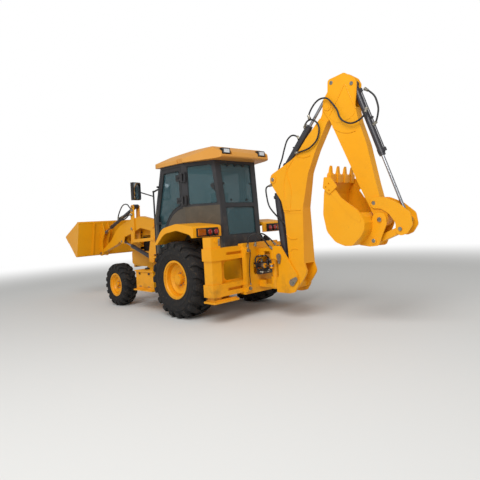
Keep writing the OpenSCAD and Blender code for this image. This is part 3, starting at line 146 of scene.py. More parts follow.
class Finish(NodeTree):   # a material under construction
    def __init__(self, name):
        self.material = bpy.data.materials.new(name)
        super().__init__(self.material)
        self.place = self.add("ShaderNodeTexCoord", {}, {}, "Object")

    def noise(self, scale, detail=3.0, rough=0.55, place=None):
        return self.add("ShaderNodeTexNoise", {}, {
            "Vector": place or self.place, "Scale": scale, "Detail": detail, "Roughness": rough})

    def band(self, value, low, high, toLow=0.0, toHigh=1.0):   # smooth step from low to high
        return self.add("ShaderNodeMapRange", {"interpolation_type": "SMOOTHSTEP"}, {
            0: value, 1: low, 2: high, 3: toLow, 4: toHigh})

    def cloud(self, scale, detail=5.0, rough=0.6, low=0.4, high=0.75):   # soft patches from noise
        return self.band(self.noise(scale, detail, rough), low, high)

    def waves(self, direction, scale, distortion=0.0):
        return self.add("ShaderNodeTexWave", {"bands_direction": direction}, {
            "Vector": self.place, "Scale": scale, "Distortion": distortion})

    def axes(self):
        x = self.add("ShaderNodeSeparateXYZ", {}, {0: self.place})
        return x, x.beside(1), x.beside(2)

    def mix(self, share, first, second):
        return self.add("ShaderNodeMix", {"data_type": "RGBA"}, {
            0: share, 6: first, 7: second}, 2)

    def stretched(self, scale):   # the place stretched by a factor for each axis
        return self.add("ShaderNodeMapping", {}, {"Vector": self.place, "Scale": scale})

    def bump(self, height, strength, distance):
        return self.add("ShaderNodeBump", {}, {
            "Height": height, "Strength": strength, "Distance": distance})

    def close(self, values, kind="ShaderNodeBsdfPrincipled"):
        self.add("ShaderNodeOutputMaterial", {}, {"Surface": self.add(kind, {}, values)})
        return self.material


def colour(text):   # a hex colour in linear values
    rgb = [int(text[i:i + 2], 16) / 255 for i in (1, 3, 5)]
    return tuple(c / 12.92 if c <= 0.04045 else ((c + 0.055) / 1.055) ** 2.4 for c in rgb) + (1.0,)


# finishes
paintLook = {
    "yellow": "#EB9F0C", "faded": "#E9A722", "dirt": "#6E522C", "chip": "#6A5230",
    "rough": 0.40, "dirtTop": 1.1,
}
castTones = "#2E2D2F", "#403D3A"


def paintFinish(name, base, faded, look, wear=0.0):
    f = Finish(name)
    x, y, z = f.axes()
    body = f.mix(f.cloud(1.7, 4.0, 0.55, 0.35) * 0.45, colour(base), colour(faded))
    # dust lies low down and in cloudy patches
    low = f.band(z, 0.25, look["dirtTop"], 1.0, 0.12)
    dust = (f.cloud(5.0, 6.0, 0.65, 0.45, 0.78) * low * 0.55).smallest(0.6)
    body = f.mix(dust, body, colour(look["dirt"]))
    # small chips to the primer
    chips = f.cloud(70.0, 2.0, 0.5, 0.70 - wear * 0.04, 0.73 - wear * 0.04)
    chips = chips * f.cloud(6.0, 2.0, 0.55, 0.56, 0.64)
    body = f.mix(chips * 0.6, body, colour(look["chip"]))
    rough = look["rough"] + dust * 0.4 + chips * 0.25 + f.noise(30.0, 2.0) * 0.08
    return f.close({"Base Color": body, "Roughness": rough, "Metallic": 0.0,
                    "Coat Weight": 0.06 - dust * 0.06, "Coat Roughness": 0.12,
                    "Specular IOR Level": 0.25, "Normal": f.bump(f.noise(420.0, 1.0), 0.05, 0.0006)})


def darkFinish(name, base, second, rough=0.45, grain=240.0, depth=0.12):
    f = Finish(name)
    x, y, z = f.axes()
    body = f.mix(f.cloud(4.0) * 0.5, colour(base), colour(second))
    dust = f.cloud(9.0, 5.0, 0.65, 0.42, 0.8) * f.band(z, 0.2, 1.3, 0.45, 0.06)
    body = f.mix(dust, body, colour("#7A6A52"))
    return f.close({"Base Color": body, "Roughness": rough + dust * 0.4, "Metallic": 0.0,
                    "Normal": f.bump(f.noise(grain, 2.0), depth, 0.001)})


def tyreFinish(name):
    f = Finish(name)
    body = f.mix(f.cloud(7.0, 6.0, 0.65, 0.38, 0.72) * 0.55, colour("#131213"), colour("#241F1B"))
    mud = f.cloud(22.0, 4.0, 0.6, 0.55, 0.72)
    body = f.mix(mud * 0.35, body, colour("#6A5A45"))
    return f.close({"Base Color": body, "Roughness": 0.82 + mud * 0.12,
                    "Normal": f.bump(f.noise(160.0, 3.0), 0.35, 0.0015)})


def chromeFinish(name):
    f = Finish(name)
    streak = f.noise(60.0, 3.0, 0.6, f.stretched((1.0, 1.0, 6.0)))
    # both greys sit darker than clean chrome: a painted dark reflection, standing in for the dark surroundings
    # that the rods mirror
    body = f.mix(f.band(streak, 0.45, 0.75) * 0.5, colour("#A9ABAF"), colour("#77767A"))
    return f.close({"Base Color": body, "Metallic": 1.0, "Roughness": 0.20 + streak * 0.16})


def glassFinish(name, tint="#33555C", seen=0.62):
    f = Finish(name)
    film = f.cloud(3.0, 5.0, 0.65, 0.4, 0.8)
    body = f.mix(film * 0.25, colour(tint), colour("#4E6E72"))
    return f.close({"Base Color": body, "Roughness": 0.04 + film * 0.08,
                    "Alpha": seen + film * 0.06, "Specular IOR Level": 0.8})


def cabFinish(name):   # dark frame, with taupe side panels below the window sill
    f = Finish(name)
    x, y, z = f.axes()
    panel = f.band(z, 1.872, 1.878, 1.0, 0.0) * f.band(x, -0.80, -0.79)
    patches = f.cloud(5.0) * 0.5
    frameTone = f.mix(patches, colour("#262629"), colour("#323135"))
    panelTone = f.mix(patches, colour("#4A4337"), colour("#574F42"))
    dust = f.cloud(8.0, 6.0, 0.65, 0.45, 0.8) * f.band(z, 1.0, 2.2, 0.4, 0.08)
    body = f.mix(dust, f.mix(panel, frameTone, panelTone), colour("#7C6C55"))
    return f.close({"Base Color": body, "Roughness": 0.42 + dust * 0.4,
                    "Normal": f.bump(f.noise(300.0, 1.0), 0.05, 0.0006)})


def axleFinish(name, tones, ends, reach):   # dark housing, painted like the body at its outer ends
    f = Finish(name)
    x, y, z = f.axes()
    out = f.band(y.size(), reach, reach + 0.004)
    body = f.mix(out, f.mix(f.cloud(5.0) * 0.5, colour(tones[0]), colour(tones[1])), colour(ends))
    dust = f.cloud(9.0, 5.0, 0.65, 0.45, 0.8) * 0.4
    body = f.mix(dust, body, colour(paintLook["dirt"]))
    return f.close({"Base Color": body, "Roughness": 0.5 + dust * 0.4, "Specular IOR Level": 0.3,
                    "Normal": f.bump(f.noise(90.0, 2.0), 0.25, 0.001)})


def lampFinish(name):   # amber at the outer end of the tail lamps, red beside it, clear elsewhere
    f = Finish(name)
    x, y, z = f.axes()
    rear = f.band(x, -0.70, -0.69, 1.0, 0.0) * f.band(z, 1.9, 1.91, 1.0, 0.0)
    tail = f.mix(f.band(y.size(), 0.86, 0.865), colour("#8E1B12"), colour("#D9781A"))
    body = f.mix(rear, colour("#D5D8DA"), tail)
    return f.close({"Base Color": body, "Roughness": 0.12, "Coat Weight": 0.6,
                    "Normal": f.bump(f.waves("Z", 22.0), 0.25, 0.002)})


def rubberFinish(name, base="#151516", second="#242425", rough=0.5):   # hoses and seals, with fine wrap marks
    f = Finish(name)
    body = f.mix(f.cloud(14.0, 4.0, 0.6, 0.4, 0.7) * 0.6, colour(base), colour(second))
    dust = f.cloud(30.0, 4.0, 0.65, 0.52, 0.8)
    body = f.mix(dust * 0.3, body, colour("#6F6352"))
    return f.close({"Base Color": body, "Roughness": rough + dust * 0.3,
                    "Normal": f.bump(f.waves("DIAGONAL", 260.0, 1.5), 0.12, 0.0008)})


def steelFinish(name):   # zinc-plated pins and bolts, greasy in patches
    f = Finish(name)
    grease = f.cloud(24.0, 4.0, 0.6, 0.48, 0.7)
    spangle = f.noise(90.0, 2.0, 0.5)
    body = f.mix(spangle, colour("#8F8A7E"), colour("#ABA698"))
    body = f.mix(grease * 0.7, body, colour("#4A4034"))
    return f.close({"Base Color": body, "Metallic": 0.85, "Roughness": 0.34 + grease * 0.25,
                    "Normal": f.bump(spangle, 0.08, 0.0006)})


def lensFinish(name, base, deep):   # moulded lens: bright ridges over a darker ground
    f = Finish(name)
    prism = f.add("ShaderNodeTexVoronoi", {}, {"Vector": f.place, "Scale": 160.0})
    body = f.mix(f.band(prism, 0.1, 0.6), colour(base), colour(deep))
    return f.close({"Base Color": body, "Roughness": 0.14 + prism * 0.1, "Coat Weight": 0.8,
                    "Normal": f.bump(prism, 0.35, 0.0012)})


def mirrorFinish(name):
    f = Finish(name)
    film = f.cloud(12.0, 5.0, 0.6, 0.45, 0.8)
    body = f.mix(film * 0.4, colour("#AEB9C0"), colour("#7F888C"))
    return f.close({"Base Color": body, "Metallic": 1.0, "Roughness": 0.03 + film * 0.12})


def clothFinish(name, base="#202226", second="#34373D"):   # plain weave: crossed sets of threads
    f = Finish(name)
    across, along, up = (f.waves(way, 190.0, 0.6) for way in "XYZ")
    weave = (across * along).largest(along * up)
    patches = f.cloud(9.0, 4.0, 0.55, 0.4, 0.7)
    body = f.mix(weave * 0.7 + patches * 0.2, colour(base), colour(second))
    return f.close({"Base Color": body, "Roughness": 0.88 - weave * 0.1, "Sheen Weight": 0.25,
                    "Normal": f.bump(weave + patches * 0.3, 0.4, 0.0015)})


finishes = {
    "paint": paintFinish("yellow paint", paintLook["yellow"], paintLook["faded"], paintLook),
    "wornPaint": paintFinish("worn yellow paint", paintLook["yellow"], paintLook["faded"], paintLook, 1.0),
    "roof": paintFinish("roof moulding", "#D2923F", "#D9A45A", dict(paintLook, rough=0.5)),
    "cab": cabFinish("cab frame paint"),
    "tyre": tyreFinish("tyre rubber"),
    "chrome": chromeFinish("chrome rod"),
    # the barrel greys are darker than the paint's own tone: painted shade for barrels lying in shadow; swing
    # cylinders and tie rods share these darkened greys
    "cylinder": darkFinish("cylinder paint", "#2D2C31", "#3B3A3F", 0.34),
    "cast": darkFinish("dark casting", *castTones, 0.6, 90.0, 0.4),
    "plastic": darkFinish("black plastic", "#1B1B1D", "#2A2A2C", 0.55, 500.0, 0.25),
    "axle": axleFinish("axle paint", castTones, paintLook["yellow"], 0.62),
    "door": darkFinish("door frame paint", "#1C1C1F", "#29292C", 0.42, 300.0, 0.08),
    "seat": darkFinish("seat cover", "#232327", "#303036", 0.85, 700.0, 0.5),
    "glass": glassFinish("tinted glass"),
    "lamp": lampFinish("lamp lens"),
    "hose": rubberFinish("hydraulic hose"),
    "rubber": rubberFinish("rubber seal", "#111113", "#1D1D1F", 0.6),
    "steel": steelFinish("plated steel"),
    "red": lensFinish("red lens", "#D21F1C", "#7E0D0F"),
    "amber": lensFinish("amber lens", "#E8861E", "#9C4A0C"),
    "mirror": mirrorFinish("mirror glass"),
    "cloth": clothFinish("seat cloth"),
}
print("finishes made:", len(finishes))

finishOf = {
    "cab_frame": "cab", "door_left": "door", "door_right": "door", "cab_roof": "roof",
    "cab_glass": "glass", "door_glass_left": "glass", "door_glass_right": "glass",
    "engine_block": "cast", "rear_axle": "axle", "front_axle": "axle",
    "knuckle_left": "axle", "knuckle_right": "axle", "front_grille": "plastic",
    "glass_fittings": "plastic", "lamp_housings": "plastic",
    "mirrors": "plastic", "cab_interior": "plastic", "seat_cushions": "seat", "lamps": "lamp",
    "loader_bucket": "wornPaint", "hoe_bucket": "wornPaint",
}
for name, part in parts.items():
    if name.startswith("tyre"):
        chosen = "tyre"
    elif "barrel" in name:
        chosen = "cylinder"
    elif "_rod" in name or name == "loader_pins":
        chosen = "chrome"
    else:
        chosen = finishOf.get(name, "paint")
    part.data.materials.clear()
    part.data.materials.append(finishes[chosen])


# surfaces from whole arrays; a shape is (points, blocks of faces)
def grid(points, closeRows=False, closeCols=False):   # each cell of a rows x columns grid of points is a quad
    rows, cols = points.shape[:2]
    index = np.arange(rows * cols).reshape(rows, cols)
    if closeRows:
        index = np.vstack([index, index[:1]])
    if closeCols:
        index = np.hstack([index, index[:, :1]])
    quads = np.stack([index[:-1, :-1], index[:-1, 1:], index[1:, 1:], index[1:, :-1]], -1)
    return points.reshape(-1, 3), [quads.reshape(-1, 4)]


def unit(v):   # each vector divided by its length
    v = np.asarray(v, float)
    return v / np.linalg.norm(v, axis=-1, keepdims=True)


def basisOf(axis):   # two directions square to the axis, and the axis
    axis = unit(axis)
    side = unit(np.cross(axis, [0.0, 0.0, 1.0] if abs(axis[2]) < 0.9 else [1.0, 0.0, 0.0]))
    return np.array([side, np.cross(axis, side), axis])


def lathe(profile, place=(0, 0, 0), axis=(0, 0, 1), sides=24):
    # a profile of (radius, height) turned round the axis:
    # place + height axis + radius (cos a side + sin a other)
    profile = np.asarray(profile, float)
    side, other, axis = basisOf(axis)
    angle = np.linspace(0, 2 * math.pi, sides, endpoint=False)
    ring = np.cos(angle)[:, None] * side + np.sin(angle)[:, None] * other
    points = profile[:, 0, None, None] * ring + profile[:, 1, None, None] * axis + np.asarray(place, float)
    return grid(points, closeCols=True)


def smoothPath(knots, steps=8):   # Catmull-Rom: each span leaves a knot along the line between its neighbours
    k = np.asarray(knots, float)
    k = np.vstack([2 * k[0] - k[1], k, 2 * k[-1] - k[-2]])
    span = np.repeat(np.arange(len(k) - 3), steps)
    t = np.tile(np.arange(steps) / steps, len(k) - 3)[:, None]
    a, b, c, d = k[span], k[span + 1], k[span + 2], k[span + 3]
    curve = b + 0.5 * (c - a) * t + (a - 2.5 * b + 2 * c - 0.5 * d) * t ** 2
    curve = curve + 0.5 * (3 * b - a - 3 * c + d) * t ** 3
    return np.vstack([curve, k[-2]])


def sweep(path, section, upward=(0, 1, 0), closed=False):
    # a section of (across, up) carried along the path, with its ends drawn to a point:
    # point + across (heading x up) + up
    path = np.asarray(path, float)
    ahead = np.roll(path, -1, 0) - np.roll(path, 1, 0) if closed else np.gradient(path, axis=0)
    ahead = unit(ahead)
    across = unit(np.cross(ahead, upward))
    up = np.cross(across, ahead)
    section = np.asarray(section, float)
    if section.ndim == 2:
        section = np.broadcast_to(section, (len(path),) + section.shape)
    points = path[:, None] + section[..., :1] * across[:, None] + section[..., 1:] * up[:, None]
    if not closed:
        ends = np.broadcast_to(path[[0, -1], None], (2,) + points.shape[1:])
        points = np.concatenate([ends[:1], points, ends[1:]])
    return grid(points, closeRows=closed, closeCols=True)


def roundSection(radius, sides=10):   # a circle, or one for each radius
    angle = np.linspace(0, 2 * math.pi, sides, endpoint=False)
    circle = np.stack([np.cos(angle), np.sin(angle)], -1)
    return np.multiply.outer(np.asarray(radius, float), circle)


def ovalSection(wide, thick, sides=10):
    return roundSection(1.0, sides) * [wide / 2, thick / 2]


def tube(knots, radius, upward=(0, 1, 0), steps=8, sides=10):
    return sweep(smoothPath(knots, steps), roundSection(radius, sides), upward)


def bead(path, radius):   # a weld: a thin tube whose radius swells once for each drop, radius (1 + 0.25 |sin|)
    wave = radius * (1 + 0.25 * np.abs(np.sin(np.arange(len(path)) * 1.3)))
    return sweep(path, roundSection(wave, 6))


def roundBox(middle, size, radius, turn=0.0, about=2, rings=3, sides=4):
    # a sphere whose eighths are moved apart: middle + sign(d) (size / 2 - radius) + radius d, then turned
    theta = (np.arange(2 * rings) + 0.5) * math.pi / (2 * rings)
    phi = (np.arange(4 * sides) + 0.5) * math.pi / (2 * sides)
    d = np.stack([np.outer(np.sin(theta), np.cos(phi)), np.outer(np.sin(theta), np.sin(phi)),
                  np.outer(np.cos(theta), np.ones_like(phi))], -1)
    half = np.asarray(size, float) / 2
    d = np.sign(d) * (half - radius) + radius * d
    poles = np.zeros((2, 1, 3))
    poles[:, 0, 2] = half[2], -half[2]
    poles = np.broadcast_to(poles, (2, d.shape[1], 3))
    d = np.concatenate([poles[:1], d, poles[1:]])
    c, s = math.cos(turn), math.sin(turn)
    turned = np.eye(3)
    i, j = (about + 1) % 3, (about + 2) % 3
    turned[i, i], turned[i, j], turned[j, i], turned[j, j] = c, -s, s, c
    return grid(d @ turned.T + np.asarray(middle, float), closeCols=True)


def slab(outline, y, thickness):   # a side outline of (x, z) points given a thickness along y
    outline = np.asarray(outline, float)
    ring = np.stack([outline[:, 0], np.full(len(outline), y), outline[:, 1]], -1)
    points, blocks = grid(np.stack([ring, ring + [0, thickness, 0]]), closeCols=True)
    caps = np.arange(2 * len(outline)).reshape(2, -1)
    return points, blocks + [caps]


def corners(points, radius, steps=4):
    # each corner replaced by a curve: (1-t)^2 before + 2 t (1-t) corner + t^2 after
    p = np.asarray(points, float)
    before = p + unit(np.roll(p, 1, 0) - p) * radius
    after = p + unit(np.roll(p, -1, 0) - p) * radius
    t = np.linspace(0, 1, steps)[None, :, None]
    curve = (1 - t) ** 2 * before[:, None] + 2 * t * (1 - t) * p[:, None] + t ** 2 * after[:, None]
    return curve.reshape(-1, p.shape[1])


def spread(shape, places, axis):   # copies of a shape drawn along z, set at the places along the axis
    points, blocks = shape
    world = (points @ basisOf(axis))[None] + np.asarray(places, float)[:, None]
    step = np.arange(len(places))[:, None, None] * len(points)
    return world.reshape(-1, 3), [(b[None] + step).reshape(-1, b.shape[1]) for b in blocks]


def joined(shapes):
    points, blocks, count = [], [], 0
    for p, faces in shapes:
        points.append(p)
        blocks += [b + count for b in faces]
        count += len(p)
    return np.vstack(points), blocks


def makePiece(name, shapes, finish, body=None, crease=35.0):
    points, blocks = joined(shapes)
    mesh = bpy.data.meshes.new(name)
    mesh.from_pydata(points.tolist(), [], [face for block in blocks for face in block.tolist()])
    work = bmesh.new()
    work.from_mesh(mesh)
    bmesh.ops.remove_doubles(work, verts=work.verts, dist=1e-5)
    bmesh.ops.dissolve_degenerate(work, edges=work.edges, dist=1e-6)
    bmesh.ops.recalc_face_normals(work, faces=work.faces)
    work.to_mesh(mesh)
    work.free()
    mesh.shade_smooth()
    mesh.set_sharp_from_angle(angle=math.radians(crease))
    mesh.materials.append(finishes[finish])
    piece = bpy.data.objects.new(name, mesh)
    bpy.context.scene.collection.objects.link(piece)
    if body:
        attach(piece, body)
    return piece


# places: pins come from the joints; other places are x ahead of the rear axle, y and z, in metres
pins = {joint["name"]: np.array(joint["pos_m"]) for joint in frame["joints"] if "pos_m" in joint}
axleX = pins["rear_wheel_left_spin"][0]
hoeY = pins["boom_swing"][1]
sides = {"left": 1, "right": -1}
farOut = 1.6   # metres from the middle plane, beyond the widest part, where rays start


def fromAxle(points):
    return np.asarray(points, float) + np.array([axleX, 0, 0])


def nodePoints(name):
    mesh = parts[name].data
    co = np.empty(len(mesh.vertices) * 3, np.float32)
    mesh.vertices.foreach_get("co", co)
    return co.reshape(-1, 3).astype(float)


def outerFace(node, pin, reach, side):   # how far out a node reaches near a pin, on side 1 or -1
    points = nodePoints(node)
    near = np.hypot(points[:, 0] - pin[0], points[:, 2] - pin[2]) < reach
    return (points[near, 1] * side).max() * side


def boltShape(across, tall=0.6, sides=6):   # a bolt's head on its washer, drawn along z
    r = across / 2
    washer = lathe([(0, 0), (r * 1.25, 0), (r * 1.25, r * 0.22), (0, r * 0.22)], sides=12)
    head = lathe([(0, r * 0.2), (r, r * 0.2), (r, r * (0.2 + tall)), (r * 0.86, r * (0.35 + tall)),
                  (0, r * (0.35 + tall))], sides=sides)
    return joined([washer, head])


def hits(name, starts, way):   # where rays from the starting points, x from the axle, meet a node
    found = [parts[name].ray_cast(tuple(start), tuple(unit(way))) for start in fromAxle(starts)]
    return np.array([place for met, place, normal, index in found if met]).reshape(-1, 3)


def sideHits(name, places, side):   # (x from the axle, z) places on a node's side face, left (1) or right (-1)
    x, z = np.asarray(places, float).T
    return hits(name, np.stack([x, np.full(len(x), side * farOut), z], -1), (0, -side, 0))


def onSide(name, line, side, spacing):   # a line of (x, z) cut into even steps and laid on a node's side face
    line = np.asarray(line, float)
    run = np.concatenate([[0], np.cumsum(np.linalg.norm(np.diff(line, axis=0), axis=1))])
    at = np.linspace(0, run[-1], max(3, int(run[-1] / spacing)))
    return sideHits(name, np.stack([np.interp(at, run, line[:, i]) for i in range(2)], -1), side)


# hoses; each runs between the two bodies that its end fittings are fixed to
hoseLook = {"radius": 0.0125, "sides": 10, "steps": 10, "crimp": 1.55, "nut": 2.0, "crimpLong": 5.0}
boomY, armY = hoeY + 0.08, hoeY + 0.10
leverPorts = sideHits("tilt_levers", [(2.02, 1.92), (2.03, 1.85)], 1) - [axleX, 0, 0]
frontPort = hits("tilt_barrels", [(2.772, 0.52, 2.4)], (0, 0, -1))[0] - [axleX, 0, 0]
sidePort = sideHits("tilt_barrels", [(2.50, 1.83)], 1)[0] - [axleX, 0, 0]
hoses = {
    "hose_boom_side": ("boom", None, [
        (-1.50, boomY, 2.12), (-1.371, boomY, 2.083), (-1.37, boomY, 1.936), (-1.416, boomY, 1.775),
        (-1.54, boomY, 1.637), (-1.66, boomY, 1.54), (-1.74, boomY, 1.46), (-1.80, boomY, 1.30)]),
    "hose_barrel_rear": ("boom", "dipper_barrel", [
        (-1.585, 0.05, 2.310), (-1.609, 0.05, 2.403), (-1.67, 0.05, 2.514), (-1.73, 0.05, 2.66),
        (-1.80, 0.05, 2.79), (-1.90, 0.05, 2.845), (-2.00, 0.05, 2.81), (-2.038, 0.05, 2.763)]),
    "hose_barrel_loop": ("boom", "dipper_barrel", [
        (-2.013, 0.135, 2.546), (-2.253, armY, 2.571), (-2.392, armY, 2.642), (-2.453, armY, 2.722),
        (-2.481, armY, 2.838), (-2.449, armY, 2.922), (-2.361, armY, 2.984), (-2.246, 0.12, 2.977),
        (-2.178, 0.085, 2.908)]),
    "hose_elbow_outer": ("boom", "dipper", [
        (-2.342, 0.17, 2.994), (-2.328, 0.17, 3.044), (-2.37, 0.17, 3.12), (-2.45, 0.17, 3.20),
        (-2.545, 0.17, 3.24), (-2.656, 0.17, 3.222), (-2.738, 0.17, 3.137), (-2.812, 0.17, 3.022),
        (-2.84, 0.17, 2.929), (-2.902, 0.17, 2.851), (-3.014, 0.17, 2.798), (-3.127, 0.17, 2.812),
        (-3.209, 0.165, 2.864), (-3.254, 0.15, 2.963)]),
    "hose_bucket_ram": ("dipper", "bucket_barrel", [
        (-3.18, 0.05, 3.246), (-3.262, 0.05, 3.18), (-3.326, 0.05, 3.099), (-3.36, 0.05, 2.969),
        (-3.353, 0.05, 2.878), (-3.317, 0.05, 2.772), (-3.275, 0.05, 2.735)]),
    "hose_post_left": ("carriage", "swing_post", [
        (-1.15, 0.246, 1.15), (-1.16, 0.205, 1.31), (-1.20, 0.11, 1.345), (-1.26, -0.003, 1.255),
        (-1.33, -0.055, 1.147)]),
    "hose_post_right": ("carriage", "swing_post", [
        (-1.13, 0.40, 1.13), (-1.15, 0.37, 1.30), (-1.22, 0.30, 1.35), (-1.31, 0.211, 1.26),
        (-1.37, 0.161, 1.155), (-1.42, 0.12, 1.10)]),
    "hose_loader_top_left": ("tilt_levers", "tilt_barrels", [
        leverPorts[0], (2.05, 0.645, 2.00), (2.15, 0.63, 2.06), (2.32, 0.60, 2.08), (2.50, 0.56, 2.05),
        (2.66, 0.53, 1.96), (2.76, 0.52, 1.85), frontPort]),
    "hose_loader_low_left": ("tilt_levers", "tilt_barrels", [
        leverPorts[1], (2.08, 0.652, 1.835), (2.18, 0.657, 1.785), (2.31, 0.655, 1.75), (2.43, 0.655, 1.755),
        (2.495, 0.652, 1.79), sidePort]),
}


def hoseShapes(knots, look, radius=None):   # the hose, and at each end a crimped sleeve and a nut
    r = radius or look["radius"]
    path = smoothPath(knots, look["steps"])
    tubeShape = sweep(path, roundSection(np.full(len(path), r), look["sides"]), (0.3, 1, 0.2))
    c, n, long = r * look["crimp"], r * look["nut"], r * look["crimpLong"]
    sleeve = [(0, 0), (n * 0.8, 0), (n, r * 0.3), (n, r * 1.5), (c, r * 1.7), (c, long * 0.6),
              (c * 0.9, long * 0.64), (c, long * 0.68), (c, long), (r, long * 1.05), (0, long * 1.05)]
    return [tubeShape], [lathe(sleeve, path[0], path[2] - path[0], 12),
                         lathe(sleeve, path[-1], path[-3] - path[-1], 12)]


for name, (first, second, knots) in hoses.items():
    knots = fromAxle(knots)
    for mirrored in ([1, -1] if "loader" in name else [1]):
        line = knots * [1, mirrored, 1]
        rubber, ends = hoseShapes(line, hoseLook)
        label = name if mirrored == 1 else name.replace("left", "right")
        hose = makePiece(label, rubber, "hose", None if second else first, 60)
        if second:
            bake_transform(hose)
        for shape, body, tail in zip(ends, (first, second or first), ("start", "end")):
            makePiece(label + "_fitting_" + tail, [shape], "steel", body)
print("hoses made:", len(hoses))


# pins: a turned head on each end, with a keeper plate where the photograph shows one
pinLook = {"proud": 0.006, "chamfer": 0.004, "sunk": 0.004}
eyes = {   # x ahead of the rear axle and z of the pins that no joint gives
    "lever_low": (2.075, 1.29), "lift_eye": (2.56, 1.29), "tilt_ear": (3.39, 1.505),
    "boom_cyl_eye": (-1.53, 2.2), "dip_cyl_eye": (-2.71, 3.435), "bkt_cyl_eye": (-3.671, 1.466),
    "bkt_ear": (-3.237, 1.213), "lever_top": (2.01, 2.01),
}
pinHeads = [   # body and node, pin or joint, reach looked at, radius of the head
    ("loader_arms", "loader_lift", 0.08, 0.040), ("loader_arms", "lever_swing", 0.07, 0.029),
    ("tilt_levers", "lever_top", 0.05, 0.022), ("loader_arms", "lift_eye", 0.05, 0.028),
    ("loader_bucket", "tilt_ear", 0.05, 0.026), ("swing_post", "boom_swing", 0.09, 0.040),
    ("swing_post", "boom_barrel_swing", 0.08, 0.034), ("boom", "boom_cyl_eye", 0.07, 0.030),
    ("boom", "dipper_barrel_swing", 0.06, 0.028), ("boom", "dipper_swing", 0.09, 0.036),
    ("dipper", "dip_cyl_eye", 0.06, 0.028), ("dipper", "bucket_barrel_swing", 0.06, 0.026),
    ("dipper", "guide_link_swing", 0.07, 0.030), ("hoe_bucket", "bucket_curl", 0.07, 0.030),
    ("guide_link", "bkt_cyl_eye", 0.06, 0.026), ("bucket_link", "bucket_link_swing", 0.06, 0.026),
    ("hoe_bucket", "bkt_ear", 0.06, 0.026),
]
for node, pin, reach, radius in pinHeads:
    place = pins[pin] if pin in pins else fromAxle([eyes[pin][0], 0, eyes[pin][1]])
    shapes = []
    for side in (1, -1):
        p, c, sunk = pinLook["proud"], pinLook["chamfer"], pinLook["sunk"]
        head = [(0, -sunk), (radius, -sunk), (radius, p - c / 2), (radius - c / 2, p),
                (radius * 0.35, p), (radius * 0.3, p - 0.002), (0, p - 0.002)]
        shapes.append(lathe(head, (place[0], outerFace(node, place, reach, side), place[2]), (0, side, 0), 28))
    makePiece("pin_" + pin, shapes, "steel", node)

# keepers: flat plates with a rounded end that hold the swing post's pins, each with one bolt
keeperLook = {
    "thick": 0.010, "bolt": 0.030, "reach": 0.09,
    "boss": [(0, 0), (0.026, 0), (0.024, 0.012), (0, 0.012)],   # radius, height
}
keepers = {   # body, middle of the pin, middle of the bolt, radii at the pin and the bolt
    "keeper_cylinder": ("swing_post", (-1.63, 0.99), (-1.633, 0.893), 0.046, 0.020),
    "keeper_boom": ("swing_post", (-1.87, 0.598), (-1.945, 0.655), 0.052, 0.030),
}


def keeperOutline(a, b, ra, rb, steps=14):   # two circles of different radii and their common tangents
    a, b = np.array(a), np.array(b)
    along = math.atan2(b[1] - a[1], b[0] - a[0])
    lean = math.acos((ra - rb) / np.linalg.norm(b - a))
    big = np.linspace(along + lean, along + 2 * math.pi - lean, 2 * steps)
    small = np.linspace(along - lean, along + lean, steps)
    return np.vstack([a + ra * np.stack([np.cos(big), np.sin(big)], -1),
                      b + rb * np.stack([np.cos(small), np.sin(small)], -1)])


for name, (body, a, b, ra, rb) in keepers.items():
    for side, s in sides.items():
        face = outerFace(body, fromAxle([a[0], 0, a[1]]), keeperLook["reach"], s)
        top = face + s * keeperLook["thick"]
        plateShape = slab(keeperOutline(a, b, ra, rb) + [axleX, 0], face, s * keeperLook["thick"])
        head = spread(boltShape(keeperLook["bolt"]), [fromAxle([b[0], top, b[1]])], (0, s, 0))
        boss = lathe(keeperLook["boss"], fromAxle([a[0], top, a[1]]), (0, s, 0), 24)
        makePiece(name + "_" + side, [plateShape, head, boss], "steel", body)

# wheel nuts, set where rays meet the rims
wheelBolts = {"rear": (0.102, 8, 0.030), "front": (0.070, 6, 0.024)}   # circle, count, size across
for side, s in sides.items():
    for end, (radius, count, across) in wheelBolts.items():
        hub = pins[f"{end}_wheel_{side}_spin"] - [axleX, 0, 0]
        found = sideHits(f"rim_{end}_{side}", roundSection(radius, count) + hub[[0, 2]], s)
        makePiece(f"wheel_nuts_{end}_{side}", [spread(boltShape(across), found, (0, s, 0))], "steel",
                  f"{end}_wheel_{side}")
print("pins, keepers and wheel nuts made")

# welds: beads laid along the seams of the plates
welds = {   # node, which is also its body, and lines of (x from the axle, z)
    "weld_boom_wing": ("boom", [(-1.99, 2.55), (-1.936, 2.456), (-1.816, 2.318), (-1.75, 2.131),
                                (-1.745, 1.937), (-1.78, 1.74)]),
    "weld_boom_arc": ("boom", [(-1.93, 2.56), (-2.013, 2.503), (-2.153, 2.463), (-2.27, 2.475)]),
    "weld_boom_seam": ("boom", [(-1.675, 1.715), (-1.867, 1.690), (-2.06, 1.686)]),
    "weld_boom_line": ("boom", [(-1.72, 1.415), (-1.755, 1.348), (-1.81, 1.278), (-1.882, 1.25),
                                (-1.969, 1.257)]),
    "weld_boom_mark": ("boom", [(-1.825, 0.971), (-1.833, 1.067), (-1.895, 1.106), (-1.976, 1.095)]),
    "weld_dipper_front": ("dipper", [(-2.915, 3.36), (-2.83, 3.232), (-2.725, 3.089), (-2.655, 2.991)]),
    "weld_dipper_rear": ("dipper", [(-2.935, 3.36), (-2.988, 3.21), (-3.043, 3.061), (-3.075, 2.985)]),
    "weld_dipper_collar": ("dipper", [(-2.68, 2.83), (-2.726, 2.779), (-2.832, 2.717), (-2.949, 2.689),
                                      (-3.047, 2.697)]),
}
weldLook = {"radius": 0.0075, "step": 0.007}
for name, (node, line) in welds.items():
    shapes = []
    smooth = smoothPath(line, 6) if len(line) > 2 else np.asarray(line, float)
    for side in (1, -1):
        path = onSide(node, smooth, side, weldLook["step"])
        if len(path) > 3:
            shapes.append(bead(path, weldLook["radius"]))
    makePiece(name, shapes, "paint", node, 60)
print("welds made")

